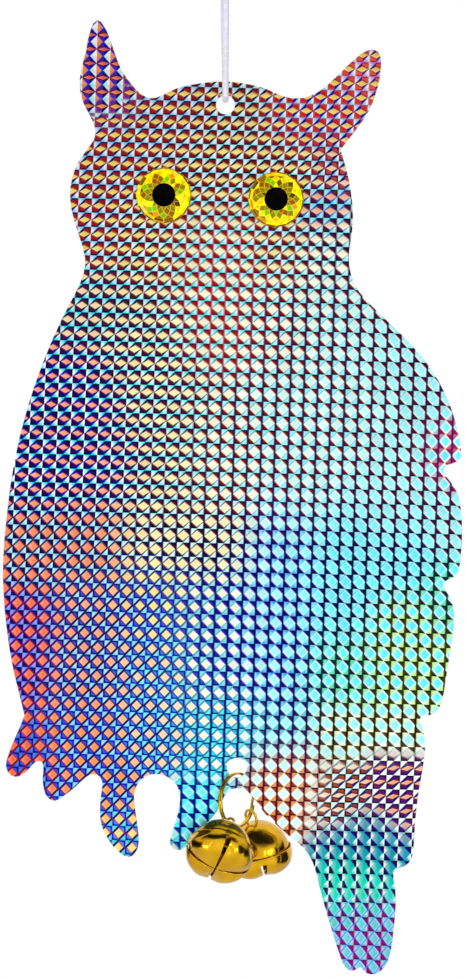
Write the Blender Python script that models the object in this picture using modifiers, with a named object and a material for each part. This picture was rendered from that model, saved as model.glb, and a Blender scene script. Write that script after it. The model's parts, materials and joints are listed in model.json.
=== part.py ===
"""Hanging owl bird scarer.

A flat plastic board cut as a horned owl carries laser film on both faces and two stick-on gem
eyes on each. A cord loop runs through a hole in its head, and two jingle bells hang from a split
ring in the hole above its feet. Metres, +Z up. The owl's front faces -Y, and the origin is the
point where a hook takes the cord loop, right under its knot.
"""
import math

import bmesh
import bpy
from mathutils import Matrix, Vector

# Fits that hold all over the part
SEAT_GAP = 0.0003
GLUE_LINE = 0.00005
MERGE_DISTANCE = 0.00001

# Board: its overall size and its sheets
BOARD_HEIGHT = 0.370
BOARD_WIDTH = 0.178
CORE_THICKNESS = 0.0016
FILM_THICKNESS = 0.00015
BOARD_THICKNESS = CORE_THICKNESS + 2 * (GLUE_LINE + FILM_THICKNESS)
OUTLINE_STEPS = 2

# Holes through the board
CORD_HOLE_DIAMETER = 0.0074
RING_HOLE_DIAMETER = 0.0077

# The photograph's pixels that the board's box and places are read in
BOARD_PIXELS_X = (3.0, 462.0)
BOARD_PIXELS_Y = (20.5, 974.7)
CORD_HOLE_PIXEL = (225.4, 105.2)
RING_HOLE_PIXEL = (236.8, 768.0)
EYE_PIXELS = {"left": (163.9, 196.0), "right": (276.0, 200.0)}

# The owl's outline in the same pixels, clockwise from the tip of the left ear
OUTLINE_PIXELS = [
    # left ear and crown
    (97.5, 20.7), (103, 25), (109.5, 38), (116, 57), (122.5, 72), (131, 84), (140, 93.5), (151, 98.7),
    (162, 95.7), (176, 89), (198, 84), (226, 81.8), (250, 85), (268, 90), (281, 96), (297, 98.7),
    # right ear
    (311, 96), (326, 86.5), (342, 71.5), (357, 57.5), (367, 51), (374.5, 50.2), (380, 55.5),
    (381, 66), (377.5, 88), (369, 111), (356, 130), (340.5, 150),
    # right cheek and shoulder
    (345.5, 167), (350.5, 190), (353, 220), (350.5, 242), (348.8, 257), (351.5, 277), (359, 292),
    (372, 306.5), (391, 325), (412, 346), (430, 368),
    # four feathers of the right wing
    (445, 394), (455, 421), (460, 445), (460.8, 456), (457.5, 461.3), (450, 464.5), (445.8, 466),
    (443.5, 470.5), (446, 476.5), (455.5, 489), (460.3, 506), (462, 530), (460.8, 555), (458.5, 570),
    (455, 576.3), (447, 580.3), (443.3, 584.5), (444, 589), (448.5, 595), (453.3, 608), (453.8, 625),
    (450.5, 648), (445.5, 681), (440.5, 705), (436, 711.5), (430, 715.3), (423, 716), (419.5, 720),
    (421.5, 727), (424.8, 740), (424, 760), (418.5, 792), (414.8, 825), (413, 852), (409.5, 862),
    (403, 867), (396.5, 869), (393.3, 873),
    # tail with its two lobes
    (395, 886), (395.7, 905), (393.5, 930), (390, 954), (384.5, 967), (375, 974.2), (367, 973.5),
    (360.3, 967), (352, 971), (345.5, 967.5), (340, 956), (333.5, 936), (325, 908), (319, 885),
    (312.5, 862), (303, 847.5), (289.5, 836.5),
    # notch over the bells, with the bridge above it
    (278, 826.5), (266, 815), (258, 804.5), (252, 796), (244, 790), (236, 788.5), (228, 792),
    (222, 801), (217, 812), (207, 823),
    # four talons, from the right
    (197, 834), (189, 844), (183.5, 849), (177, 850), (171.5, 847), (170, 841), (173, 830),
    (177.5, 815), (180, 800), (177, 786), (169, 778), (157, 774.3), (146, 776.5), (137.5, 784.5),
    (134, 796), (135.5, 812), (138, 830), (138.5, 844), (135, 853.5), (129, 857), (120, 853),
    (108, 839), (101.5, 825), (100, 812), (101, 795), (102.3, 784), (100, 777), (93, 774.3),
    (86, 777.5), (76, 786.5), (64, 796), (55, 801), (48, 798), (43.8, 789), (42.7, 776),
    (43.3, 766), (41, 761.5), (36.5, 761.7), (30, 768), (22, 775), (15.5, 777), (9, 773.5),
    (6, 766), (8.5, 755), (14, 740.5), (20, 727), (24.5, 715.5),
    # left wing, shoulder and cheek, going up to the ear
    (20, 697), (13, 668), (7, 631), (3.5, 592), (3.2, 560), (6.5, 519), (14, 464), (27, 410),
    (43, 363), (62, 319), (76, 292), (83.5, 274), (85, 258), (79, 236), (71.5, 210), (70.5, 188),
    (76, 167), (88, 148.5), (94.7, 138), (95, 129), (91.5, 119), (83.5, 103.5), (79.7, 88),
    (81, 71), (86, 52), (91, 29),
]
CORNER_PIXELS = {(340.5, 150), (360.3, 967), (24.5, 715.5)}

# Cord: one length through the head's hole, knotted above the hook
CORD_DIAMETER = 0.0025
HOOK_ABOVE_HOLE = 0.0445
CORD_SPACING = 0.006
BIGHT_STEPS = 6
CORD_HOLE_Z = -HOOK_ABOVE_HOLE
BIGHT_Z = CORD_HOLE_Z + CORD_HOLE_DIAMETER / 2
BIGHT_RADIUS = BOARD_THICKNESS / 2 + SEAT_GAP + CORD_DIAMETER / 2
# Each strand's points from the knot down to the bight: X, distance from the board's plane, Z
FRONT_STRAND = [(0.0003, 0.0014, 0.0018), (0.0003, 0.0018, 0.0000), (0.0002, 0.0032, -0.0048),
                (0.0002, 0.0034, -0.0100), (0.0001, 0.0030, -0.0200), (0.0000, 0.0026, -0.0300)]
REAR_STRAND = [(-0.0005, 0.0014, 0.0018), (-0.0005, 0.0018, 0.0000), (-0.0006, 0.0032, -0.0048),
               (-0.0006, 0.0034, -0.0100), (-0.0004, 0.0030, -0.0200), (-0.0001, 0.0026, -0.0300)]

# Knot: two slanting wraps round a core, with two cut ends above
KNOT_BOTTOM = 0.0021
KNOT_HEIGHT = 0.0075
KNOT_CORE_RADIUS = 0.0027
KNOT_WRAP_RADIUS = 0.0027
KNOT_WRAP_SLANT = math.radians(24)
TAIL_LENGTH = 0.012
TAIL_SPREAD = 0.0016
TAIL_LEAN = math.radians(14)

# Eye: foam pad, foil, faceted gem and pupil, stacked out from the film
GEM_DIAMETER = 0.0217
GEM_HEIGHT = 0.0040
GEM_FACETS = 12
GEM_PROFILE_SHARES = [(0, 1), (0.50, 1), (0.72, 0.82), (0.90, 0.48), (1, 0.2), (1, 0), (0, 0)]
FOIL_DIAMETER = 0.0208
FOIL_THICKNESS = 0.0001
PAD_DIAMETER = 0.0190
PAD_THICKNESS = 0.0008
PUPIL_DIAMETER = 0.0092
PUPIL_HEIGHT = 0.0007
PUPIL_PROFILE_SHARES = [(0, 1), (0.55, 0.92), (0.85, 0.62), (1, 0), (0, 0)]

# Split ring: a flat wire wound twice, hung on the lower edge of its hole
RING_OUTER_DIAMETER = 0.0216
RING_WIRE_RADIAL = 0.0009
RING_WIRE_AXIAL = 0.00075
RING_TURN_GAP = 0.0001
RING_TURNS = 2
RING_STEPS = 30
# The wire's start round the ring, and the arc in which it climbs onto its first turn
RING_START = math.radians(22)
RING_CLIMB = math.radians(36)
RING_YAW = math.radians(52)
RING_SIDESTEP = 0.0003
RING_CORNER_SHARE = 0.3

# Bells: a dome in a slit cup of thin sheet, with a wire bail and a loose pellet
BELL_DOME_RADIUS = 0.0122
BELL_SKIRT = 0.0012
BELL_LIP_BAND = 0.0026
BELL_CUP_DEPTH = 0.0095
BELL_SHEET = 0.0005
BELL_LIP_RADIUS = BELL_DOME_RADIUS + SEAT_GAP + BELL_SHEET
BELL_STEPS = 24
DOME_RINGS = 7
# The cup's side below its band, as shares of the lip radius and of the depth below the band
CUP_PROFILE_SHARES = [(0.97, 0.24), (0.87, 0.52), (0.67, 0.78), (0.36, 0.96), (0, 1)]
SLIT_POLE_WIDTH = 0.0006
SLIT_END_WIDTH = 0.0026
SLIT_REACH_SHARE = 1.04
SLIT_BELOW_LIP = 0.0024
BAIL_WIRE = 0.0011
BAIL_HALF_WIDTH = 0.0025
BAIL_ARCH_STEPS = 8
FOOT_LENGTH = 0.0011
RING_WIRE_ABOVE_LIP = 0.0147
PELLET_DIAMETER = 0.0060
PELLET_LEAN = math.radians(52)
# How each bell hangs: its place round the ring from the bottom, its swing about the ring's wire,
# its lean along that wire, and the turn of its slits about its own axis
BELL_POSES = {
    "left": (math.radians(-35), math.radians(15.8), math.radians(-9.2), math.radians(48)),
    "right": (math.radians(52), math.radians(3), math.radians(-35), math.radians(45)),
}


def place(pixel):
    """World X and Z of a pixel of the photograph that lies on the board."""
    across = (pixel[0] - CORD_HOLE_PIXEL[0]) / (BOARD_PIXELS_X[1] - BOARD_PIXELS_X[0])
    up = (CORD_HOLE_PIXEL[1] - pixel[1]) / (BOARD_PIXELS_Y[1] - BOARD_PIXELS_Y[0])
    return across * BOARD_WIDTH, CORD_HOLE_Z + up * BOARD_HEIGHT


def clear_scene():
    """Empties the file that the script runs in."""
    for obj in list(bpy.data.objects):
        bpy.data.objects.remove(obj, do_unlink=True)
    for data in (bpy.data.meshes, bpy.data.curves, bpy.data.materials):
        for block in list(data):
            data.remove(block)


def make_collection(name):
    collection = bpy.data.collections.new(name)
    bpy.context.scene.collection.children.link(collection)
    return collection


def make_material(name, color, roughness, metallic=0.0, alpha=1.0):
    """A Principled material of one colour."""
    material = bpy.data.materials.new(name)
    material.use_nodes = True
    shader = material.node_tree.nodes["Principled BSDF"]
    shader.inputs["Base Color"].default_value = (*color, 1)
    shader.inputs["Roughness"].default_value = roughness
    shader.inputs["Metallic"].default_value = metallic
    shader.inputs["Alpha"].default_value = alpha
    return material


def add_object(name, data, material, collection):
    """Links a new object that carries the data and its material."""
    obj = bpy.data.objects.new(name, data)
    collection.objects.link(obj)
    if material:
        data.materials.append(material)
    return obj


def shade_smooth(mesh, angle=math.radians(35)):
    mesh.shade_smooth()
    mesh.set_sharp_from_angle(angle=angle)


def curve_to_mesh(curve_object, material, collection, smooth=True):
    """Turns a curve object into a welded mesh object of the same name and place."""
    name, matrix = curve_object.name, curve_object.matrix_world.copy()
    graph = bpy.context.evaluated_depsgraph_get()
    mesh = bpy.data.meshes.new_from_object(curve_object.evaluated_get(graph))
    bpy.data.objects.remove(curve_object, do_unlink=True)
    shape = bmesh.new()
    shape.from_mesh(mesh)
    bmesh.ops.remove_doubles(shape, verts=shape.verts, dist=MERGE_DISTANCE)
    bmesh.ops.recalc_face_normals(shape, faces=shape.faces)
    shape.to_mesh(mesh)
    shape.free()
    mesh.materials.clear()
    if smooth:
        shade_smooth(mesh)
    obj = add_object(name, mesh, material, collection)
    obj.matrix_world = matrix
    return obj


def poly_tube(name, points, diameter, material, collection, sides_step=2):
    """A round tube with filled caps along the points."""
    curve = bpy.data.curves.new(name, "CURVE")
    curve.dimensions = "3D"
    curve.bevel_depth = diameter / 2
    curve.bevel_resolution = sides_step
    curve.use_fill_caps = True
    spline = curve.splines.new("POLY")
    spline.points.add(len(points) - 1)
    for point, co in zip(spline.points, points):
        point.co = (*co, 1)
    obj = add_object(name, curve, None, collection)
    bpy.context.view_layer.update()
    return curve_to_mesh(obj, material, collection)


def turned(name, profile, steps, material, collection, sheet=0.0, smooth=True):
    """A profile of (radius, height) points turned about local Z, with a wall if it is open."""
    mesh = bpy.data.meshes.new(name)
    points = [(radius, 0, height) for radius, height in profile]
    mesh.from_pydata(points, [(i, i + 1) for i in range(len(points) - 1)], [])
    obj = add_object(name, mesh, material, collection)
    screw = obj.modifiers.new("turn", "SCREW")
    screw.steps = steps
    screw.render_steps = steps
    screw.use_merge_vertices = True
    screw.merge_threshold = MERGE_DISTANCE
    screw.use_smooth_shade = smooth
    if sheet:
        wall = obj.modifiers.new("wall", "SOLIDIFY")
        wall.thickness = sheet
        wall.offset = -1
        wall.use_even_offset = True
    return obj


def circle_spline(curve, center, radius):
    """Adds a round hole to a flat curve."""
    spline = curve.splines.new("BEZIER")
    spline.use_cyclic_u = True
    spline.bezier_points.add(3)
    for index, point in enumerate(spline.bezier_points):
        angle = math.pi / 2 * index
        point.co = (center[0] + radius * math.cos(angle), center[1] + radius * math.sin(angle), 0)
        point.handle_left_type = point.handle_right_type = "AUTO"
    spline.resolution_u = 6


def board_sheet(name, thickness, depth, material, collection):
    """One flat sheet of the owl's outline with both holes, at a depth along Y."""
    curve = bpy.data.curves.new(name, "CURVE")
    curve.dimensions = "2D"
    curve.fill_mode = "BOTH"
    curve.extrude = thickness / 2
    outline = curve.splines.new("BEZIER")
    outline.use_cyclic_u = True
    outline.resolution_u = OUTLINE_STEPS
    outline.bezier_points.add(len(OUTLINE_PIXELS) - 1)
    for point, pixel in zip(outline.bezier_points, OUTLINE_PIXELS):
        point.co = (*place(pixel), 0)
        kind = "VECTOR" if pixel in CORNER_PIXELS else "AUTO"
        point.handle_left_type = point.handle_right_type = kind
    circle_spline(curve, place(CORD_HOLE_PIXEL), CORD_HOLE_DIAMETER / 2)
    circle_spline(curve, place(RING_HOLE_PIXEL), RING_HOLE_DIAMETER / 2)
    obj = add_object(name, curve, None, collection)
    obj.matrix_world = Matrix.Translation((0, depth, 0)) @ Matrix.Rotation(math.pi / 2, 4, "X")
    bpy.context.view_layer.update()
    return curve_to_mesh(obj, material, collection, smooth=False)


def make_board(collection, materials):
    """The core with a film on each face."""
    board_sheet("core_board", CORE_THICKNESS, 0, materials["core"], collection)
    film_depth = CORE_THICKNESS / 2 + GLUE_LINE + FILM_THICKNESS / 2
    board_sheet("front_film", FILM_THICKNESS, -film_depth, materials["film"], collection)
    board_sheet("rear_film", FILM_THICKNESS, film_depth, materials["film"], collection)


def make_eye(label, pixel, side, collection, materials):
    """One stick-on eye, stacked out from the film on the side of -Y (-1) or +Y (+1)."""
    x, z = place(pixel)
    turn = Matrix.Rotation(-side * math.pi / 2, 4, "X")
    depth = BOARD_THICKNESS / 2
    discs = [
        ("pad", PAD_DIAMETER, PAD_THICKNESS, [(0, 1), (1, 1), (1, 0), (0, 0)], 20, True),
        ("foil", FOIL_DIAMETER, FOIL_THICKNESS, [(0, 1), (1, 1), (1, 0), (0, 0)], 20, True),
        ("gem", GEM_DIAMETER, GEM_HEIGHT, GEM_PROFILE_SHARES, GEM_FACETS, False),
        ("pupil", PUPIL_DIAMETER, PUPIL_HEIGHT, PUPIL_PROFILE_SHARES, 20, True),
    ]
    for piece, diameter, height, shares, steps, smooth in discs:
        depth += GLUE_LINE
        profile = [(radial * diameter / 2, up * height) for radial, up in shares]
        obj = turned(f"{label}_eye_{piece}", profile, steps, materials[piece], collection,
                     smooth=smooth)
        obj.matrix_world = Matrix.Translation((x, side * depth, z)) @ turn
        depth += height


def smooth_points(points, spacing):
    """Points read from a Catmull-Rom curve through the given ones, about a spacing apart."""
    route = [2 * points[0] - points[1], *points, 2 * points[-1] - points[-2]]
    result = []
    for a, b, c, d in zip(route, route[1:], route[2:], route[3:]):
        count = max(1, round((c - b).length / spacing))
        for step in range(count):
            t = step / count
            result.append(0.5 * ((2 * b) + (c - a) * t + (2 * a - 5 * b + 4 * c - d) * t ** 2
                                 + (3 * b - a - 3 * c + d) * t ** 3))
    return result + [points[-1]]


def cord_points():
    """The cord's centre line: front strand, bight through the hole, rear strand."""
    front = [Vector((x, -away, z)) for x, away, z in FRONT_STRAND]
    rear = [Vector((x, away, z)) for x, away, z in REAR_STRAND]
    bight = []
    for step in range(BIGHT_STEPS + 1):
        angle = math.pi * step / BIGHT_STEPS
        bight.append(Vector((0, -BIGHT_RADIUS * math.cos(angle),
                             BIGHT_Z - BIGHT_RADIUS * math.sin(angle))))
    down = smooth_points(front + bight[:1], CORD_SPACING)
    up = smooth_points(bight[-1:] + rear[::-1], CORD_SPACING)
    return down[:-1] + bight + up[1:]


def make_knot(collection, cutters, materials):
    """The knot as a core with two slanting wraps, flat below where the strands go in."""
    middle = KNOT_BOTTOM + KNOT_HEIGHT / 2
    mesh = bpy.data.meshes.new("cord_knot")
    shape = bmesh.new()
    bmesh.ops.create_cone(shape, cap_ends=True, segments=16, radius1=KNOT_CORE_RADIUS,
                          radius2=KNOT_CORE_RADIUS, depth=KNOT_HEIGHT)
    shape.to_mesh(mesh)
    shape.free()
    knot = add_object("cord_knot", mesh, materials["cord"], collection)
    knot.location = (0, 0, middle)
    lift = KNOT_HEIGHT / 2 - CORD_DIAMETER
    for label, slant, height in (("low", KNOT_WRAP_SLANT, -lift / 2), ("high", -KNOT_WRAP_SLANT, lift / 2)):
        wrap = wrap_ring(f"knot_wrap_{label}", cutters)
        turn = Matrix.Rotation(slant, 4, "X") @ Matrix.Rotation(slant, 4, "Y")
        wrap.matrix_world = Matrix.Translation((0, 0, middle + height)) @ turn
        boolean(knot, wrap, "UNION")
    shade_smooth(mesh)
    return knot


def wrap_ring(name, cutters):
    """A closed ring of the cord's thickness, for one wrap of the knot."""
    count = 8
    minor = CORD_DIAMETER / 2
    profile = [(KNOT_WRAP_RADIUS + minor * math.cos(2 * math.pi * i / count),
                -minor * math.sin(2 * math.pi * i / count)) for i in range(count + 1)]
    return as_guide(turned(name, profile, 20, None, cutters))


def as_guide(obj):
    """Marks an object that only cuts or joins others."""
    obj.hide_render = True
    obj.display_type = "WIRE"
    return obj


def boolean(obj, other, operation):
    modifier = obj.modifiers.new(other.name, "BOOLEAN")
    modifier.operation = operation
    modifier.object = other
    modifier.solver = "EXACT"
    return modifier


def make_cord(collection, cutters, materials):
    """The cord, its knot and the two cut ends that stand out of the knot."""
    poly_tube("hanging_cord", cord_points(), CORD_DIAMETER, materials["cord"], collection)
    make_knot(collection, cutters, materials)
    for label, side in (("left", -1), ("right", 1)):
        root = Vector((side * TAIL_SPREAD, 0, KNOT_BOTTOM + KNOT_HEIGHT + SEAT_GAP))
        along = Vector((side * math.sin(TAIL_LEAN), 0, math.cos(TAIL_LEAN)))
        bend = root + Vector((0, 0, CORD_DIAMETER))
        end = bend + along * (TAIL_LENGTH - CORD_DIAMETER)
        poly_tube(f"cord_tail_{label}", [root, bend, end], CORD_DIAMETER, materials["cord"],
                  collection)


def ring_frame():
    """The split ring's frame: X along its plane, Y up, Z along its axis, at its centre."""
    along = Vector((math.cos(RING_YAW), math.sin(RING_YAW), 0))
    axis = Vector((math.sin(RING_YAW), -math.cos(RING_YAW), 0))
    x, hole_z = place(RING_HOLE_PIXEL)
    wire_axial = ring_wire_axial()
    half_x = (BOARD_THICKNESS / math.tan(RING_YAW) + wire_axial / math.sin(RING_YAW)) / 2
    half_x += RING_SIDESTEP
    hole_radius = RING_HOLE_DIAMETER / 2
    seat = hole_z - math.sqrt(hole_radius ** 2 - half_x ** 2) + SEAT_GAP
    reach = (BOARD_THICKNESS + wire_axial * math.cos(RING_YAW)) / 2 / math.sin(RING_YAW)
    inner = (RING_OUTER_DIAMETER / 2 - RING_WIRE_RADIAL) * math.cos(math.pi / RING_STEPS)
    center = Vector((x + RING_SIDESTEP, 0, seat - math.sqrt(inner ** 2 - reach ** 2)))
    columns = Matrix((along, Vector((0, 0, 1)), axis)).transposed().to_4x4()
    return Matrix.Translation(center) @ columns


def make_ring(collection, materials):
    """The wire's section swept round two flat turns, which end where the climb begins."""
    middle = RING_OUTER_DIAMETER / 2 - RING_WIRE_RADIAL / 2
    pitch = RING_WIRE_AXIAL + RING_TURN_GAP
    section = bpy.data.curves.new("ring_section", "CURVE")
    section.dimensions = "2D"
    spline = section.splines.new("POLY")
    spline.use_cyclic_u = True
    corners = section_corners(RING_WIRE_RADIAL / 2, RING_WIRE_AXIAL / 2)
    spline.points.add(len(corners) - 1)
    for point, co in zip(spline.points, corners):
        point.co = (*co, 0, 1)
    section_object = add_object("ring_section", section, None, collection)
    curve = bpy.data.curves.new("split_ring", "CURVE")
    curve.dimensions = "3D"
    curve.twist_mode = "Z_UP"
    curve.bevel_mode = "OBJECT"
    curve.bevel_object = section_object
    curve.use_fill_caps = True
    path = curve.splines.new("POLY")
    full = 2 * math.pi
    count = round(RING_STEPS * (RING_TURNS - RING_CLIMB / full))
    path.points.add(count)
    for index, point in enumerate(path.points):
        wound = (RING_TURNS * full - RING_CLIMB) * index / count
        turn, rest = divmod(wound + RING_CLIMB, full)
        climb = min(1, rest / RING_CLIMB)
        height = pitch * (turn - 1 + climb * climb * (3 - 2 * climb) - RING_TURNS / 2)
        angle = RING_START + wound
        point.co = (middle * math.cos(angle), middle * math.sin(angle), height, 1)
    obj = add_object("split_ring", curve, None, collection)
    obj.matrix_world = ring_frame()
    bpy.context.view_layer.update()
    ring = curve_to_mesh(obj, materials["ring"], collection)
    bpy.data.objects.remove(section_object, do_unlink=True)
    return ring


def section_corners(half_radial, half_axial):
    """A rectangle with cut corners, for the ring's wire."""
    cut = RING_CORNER_SHARE * half_axial
    corners = []
    for sx, sy in ((1, 1), (-1, 1), (-1, -1), (1, -1)):
        first = (sx * half_radial, sy * (half_axial - cut))
        second = (sx * (half_radial - cut), sy * half_axial)
        corners += [first, second] if sx == sy else [second, first]
    return corners


def bell_frame(pose):
    """A bell's frame: Z from its lip's centre to the bail, X along the bail's eye."""
    round_ring, swing, lean = pose[:3]
    ring = ring_frame()
    middle = RING_OUTER_DIAMETER / 2 - RING_WIRE_RADIAL / 2
    outward = Vector((math.sin(round_ring), -math.cos(round_ring), 0))
    tangent = Vector((math.cos(round_ring), math.sin(round_ring), 0))
    axis = Vector((0, 0, 1))
    hang = math.cos(lean) * (math.cos(swing) * outward + math.sin(swing) * axis)
    hang += math.sin(lean) * tangent
    eye = (tangent - hang * tangent.dot(hang)).normalized()
    up = -hang
    columns = Matrix((eye, up.cross(eye), up)).transposed().to_4x4()
    lip_center = outward * middle + hang * RING_WIRE_ABOVE_LIP
    return ring @ Matrix.Translation(lip_center) @ columns


def dome_profile():
    """The dome's outer side, from its top down to the end of its skirt."""
    profile = []
    for ring in range(DOME_RINGS + 1):
        angle = math.pi / 2 * ring / DOME_RINGS
        profile.append((BELL_DOME_RADIUS * math.sin(angle), BELL_DOME_RADIUS * math.cos(angle)))
    return profile + [(BELL_DOME_RADIUS, -BELL_SKIRT)]


def cup_profile():
    """The cup's outer side, from its lip down to its pole."""
    side = BELL_CUP_DEPTH - BELL_LIP_BAND
    points = [(radial * BELL_LIP_RADIUS, -BELL_LIP_BAND - down * side)
              for radial, down in CUP_PROFILE_SHARES]
    return [(BELL_LIP_RADIUS, 0), (BELL_LIP_RADIUS, -BELL_LIP_BAND)] + points


def slit_cutter(label, slit_turn, cutters):
    """A cross of four wedges that widen away from the pole, as one upright prism."""
    reach = SLIT_REACH_SHARE * BELL_LIP_RADIUS
    curve = bpy.data.curves.new(f"slits_{label}", "CURVE")
    curve.dimensions = "2D"
    curve.fill_mode = "BOTH"
    curve.extrude = BELL_CUP_DEPTH / 2
    spline = curve.splines.new("POLY")
    spline.use_cyclic_u = True
    corners = []
    for arm in range(4):
        along = slit_turn + math.pi / 2 * arm
        ray = Vector((math.cos(along), math.sin(along)))
        side = Vector((-ray.y, ray.x))
        corners += [(ray - side) * SLIT_POLE_WIDTH / 2, ray * reach - side * SLIT_END_WIDTH / 2,
                    ray * reach + side * SLIT_END_WIDTH / 2]
    spline.points.add(len(corners) - 1)
    for point, co in zip(spline.points, corners):
        point.co = (*co, 0, 1)
    obj = add_object(f"slits_{label}", curve, None, cutters)
    obj.matrix_world = Matrix.Translation((0, 0, -SLIT_BELOW_LIP - BELL_CUP_DEPTH / 2))
    bpy.context.view_layer.update()
    return as_guide(curve_to_mesh(obj, None, cutters, smooth=False))


def leg_hole_cutter(label, side, cutters):
    """A round bar that drills the hole for one leg of the bail in the dome's top."""
    mesh = bpy.data.meshes.new(f"leg_hole_{label}_{side}")
    shape = bmesh.new()
    radius = BAIL_WIRE / 2 + SEAT_GAP
    bmesh.ops.create_cone(shape, cap_ends=True, segments=12, radius1=radius, radius2=radius,
                          depth=BELL_DOME_RADIUS / 2)
    shape.to_mesh(mesh)
    shape.free()
    obj = add_object(mesh.name, mesh, None, cutters)
    obj.location = (0, side * BAIL_HALF_WIDTH, BELL_DOME_RADIUS)
    return as_guide(obj)


def bail_points():
    """The bail's wire: foot, leg, arch over the ring's wire, leg, foot."""
    inner = BELL_DOME_RADIUS - BELL_SHEET
    foot_y = BAIL_HALF_WIDTH + FOOT_LENGTH
    foot_z = math.sqrt(inner ** 2 - (foot_y + BAIL_WIRE / 2) ** 2) - SEAT_GAP - BAIL_WIRE / 2
    lean = max(abs(pose[2]) for pose in BELL_POSES.values())
    ring_reach = math.hypot(RING_WIRE_RADIAL / math.cos(lean), ring_wire_axial()) / 2
    ring_reach += BAIL_WIRE / 2 * math.tan(lean)
    arch_z = RING_WIRE_ABOVE_LIP + ring_reach + SEAT_GAP + BAIL_WIRE / 2 - BAIL_HALF_WIDTH
    half = [Vector((0, foot_y, foot_z)), Vector((0, BAIL_HALF_WIDTH + BAIL_WIRE / 4, foot_z)),
            Vector((0, BAIL_HALF_WIDTH, foot_z + BAIL_WIRE / 2))]
    arch = []
    for step in range(BAIL_ARCH_STEPS + 1):
        angle = math.pi * step / BAIL_ARCH_STEPS
        arch.append(Vector((0, BAIL_HALF_WIDTH * math.cos(angle),
                            arch_z + BAIL_HALF_WIDTH * math.sin(angle))))
    other = [Vector((0, -point.y, point.z)) for point in reversed(half)]
    return half + arch + other


def ring_wire_axial():
    """The width of the ring's two turns side by side."""
    return RING_TURNS * RING_WIRE_AXIAL + (RING_TURNS - 1) * RING_TURN_GAP


def pellet_place():
    """Where the pellet lies in the cup: as far out along its lean as the wall lets it."""
    profile = cup_profile()
    clear = PELLET_DIAMETER / 2 + SEAT_GAP + BELL_SHEET
    ray = Vector((math.sin(PELLET_LEAN), -math.cos(PELLET_LEAN)))
    low, high = 0.0, BELL_LIP_RADIUS
    for _ in range(40):
        reach = (low + high) / 2
        if wall_distance(ray * reach, profile) > clear:
            low = reach
        else:
            high = reach
    return ray * low


def wall_distance(point, profile):
    """Distance from a point to the nearest stretch of a profile."""
    nearest = []
    for start, end in zip(profile, profile[1:]):
        start, end = Vector(start), Vector(end)
        run = end - start
        share = min(1, max(0, (point - start).dot(run) / run.length_squared))
        nearest.append((point - start - run * share).length)
    return min(nearest)


def make_bell(label, pose, collection, cutters, materials):
    """One jingle bell with its bail round the ring's wire and its pellet in the cup."""
    frame = bell_frame(pose)
    dome = turned(f"{label}_bell_dome", dome_profile(), BELL_STEPS, materials["bell"], collection,
                  sheet=BELL_SHEET)
    for side in (-1, 1):
        boolean(dome, leg_hole_cutter(label, side, cutters), "DIFFERENCE").object.parent = dome
    cup = turned(f"{label}_bell_cup", cup_profile(), BELL_STEPS, materials["bell"], collection,
                 sheet=BELL_SHEET)
    boolean(cup, slit_cutter(label, pose[3], cutters), "DIFFERENCE").object.parent = cup
    bail = poly_tube(f"{label}_bell_bail", bail_points(), BAIL_WIRE, materials["ring"], collection)
    mesh = bpy.data.meshes.new(f"{label}_bell_pellet")
    shape = bmesh.new()
    bmesh.ops.create_uvsphere(shape, u_segments=14, v_segments=8, radius=PELLET_DIAMETER / 2)
    shape.to_mesh(mesh)
    shape.free()
    shade_smooth(mesh, math.pi)
    pellet = add_object(mesh.name, mesh, materials["pellet"], collection)
    for obj in (dome, cup, bail):
        obj.matrix_world = frame
    pellet.matrix_world = frame @ Matrix.Rotation(lowest_turn(frame), 4, "Z") @ pellet_offset()
    return frame


def lowest_turn(frame):
    """The turn about the bell's axis that puts the pellet at the low side."""
    down = frame.to_3x3().inverted() @ Vector((0, 0, -1))
    return math.atan2(down.y, down.x)


def pellet_offset():
    radial, up = pellet_place()
    return Matrix.Translation((radial, 0, up))


def main():
    clear_scene()
    collection = make_collection("hanging_owl_bird_scarer")
    cutters = make_collection("cutters")
    materials = {
        "core": make_material("core_plastic", (0.80, 0.80, 0.79), 0.45),
        "film": make_material("laser_film", (0.45, 0.75, 0.80), 0.15, 0.8),
        "pad": make_material("foam_pad", (0.86, 0.86, 0.83), 0.9),
        "foil": make_material("eye_foil", (0.93, 0.74, 0.02), 0.2, 0.9),
        "gem": make_material("eye_gem", (0.95, 0.85, 0.05), 0.05, 0.0, 0.6),
        "pupil": make_material("eye_pupil", (0.01, 0.01, 0.01), 0.12),
        "cord": make_material("white_cord", (0.86, 0.86, 0.90), 0.8),
        "ring": make_material("ring_wire", (0.80, 0.58, 0.10), 0.15, 1.0),
        "bell": make_material("bell_sheet", (0.80, 0.57, 0.03), 0.12, 1.0),
        "pellet": make_material("pellet_steel", (0.45, 0.44, 0.42), 0.3, 1.0),
    }
    make_board(collection, materials)
    for name, pixel in EYE_PIXELS.items():
        make_eye(f"front_{name}", pixel, -1, collection, materials)
        make_eye(f"rear_{name}", pixel, 1, collection, materials)
    make_cord(collection, cutters, materials)
    make_ring(collection, materials)
    for label, pose in BELL_POSES.items():
        make_bell(label, pose, collection, cutters, materials)


main()
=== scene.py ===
# %% [markdown]
# # A hanging owl that scares birds
#
# The object is a flat plastic owl under prismatic laser film, with stick-on gem eyes. It hangs on
# a white cord, and two gold jingle bells hang from a split ring at its feet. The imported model
# gives the frame: every piece here is placed from that model's own boxes, joints and sizes, rides
# on one of its bodies, and gets a finish worked out from numbers alone.

import json
import math

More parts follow.
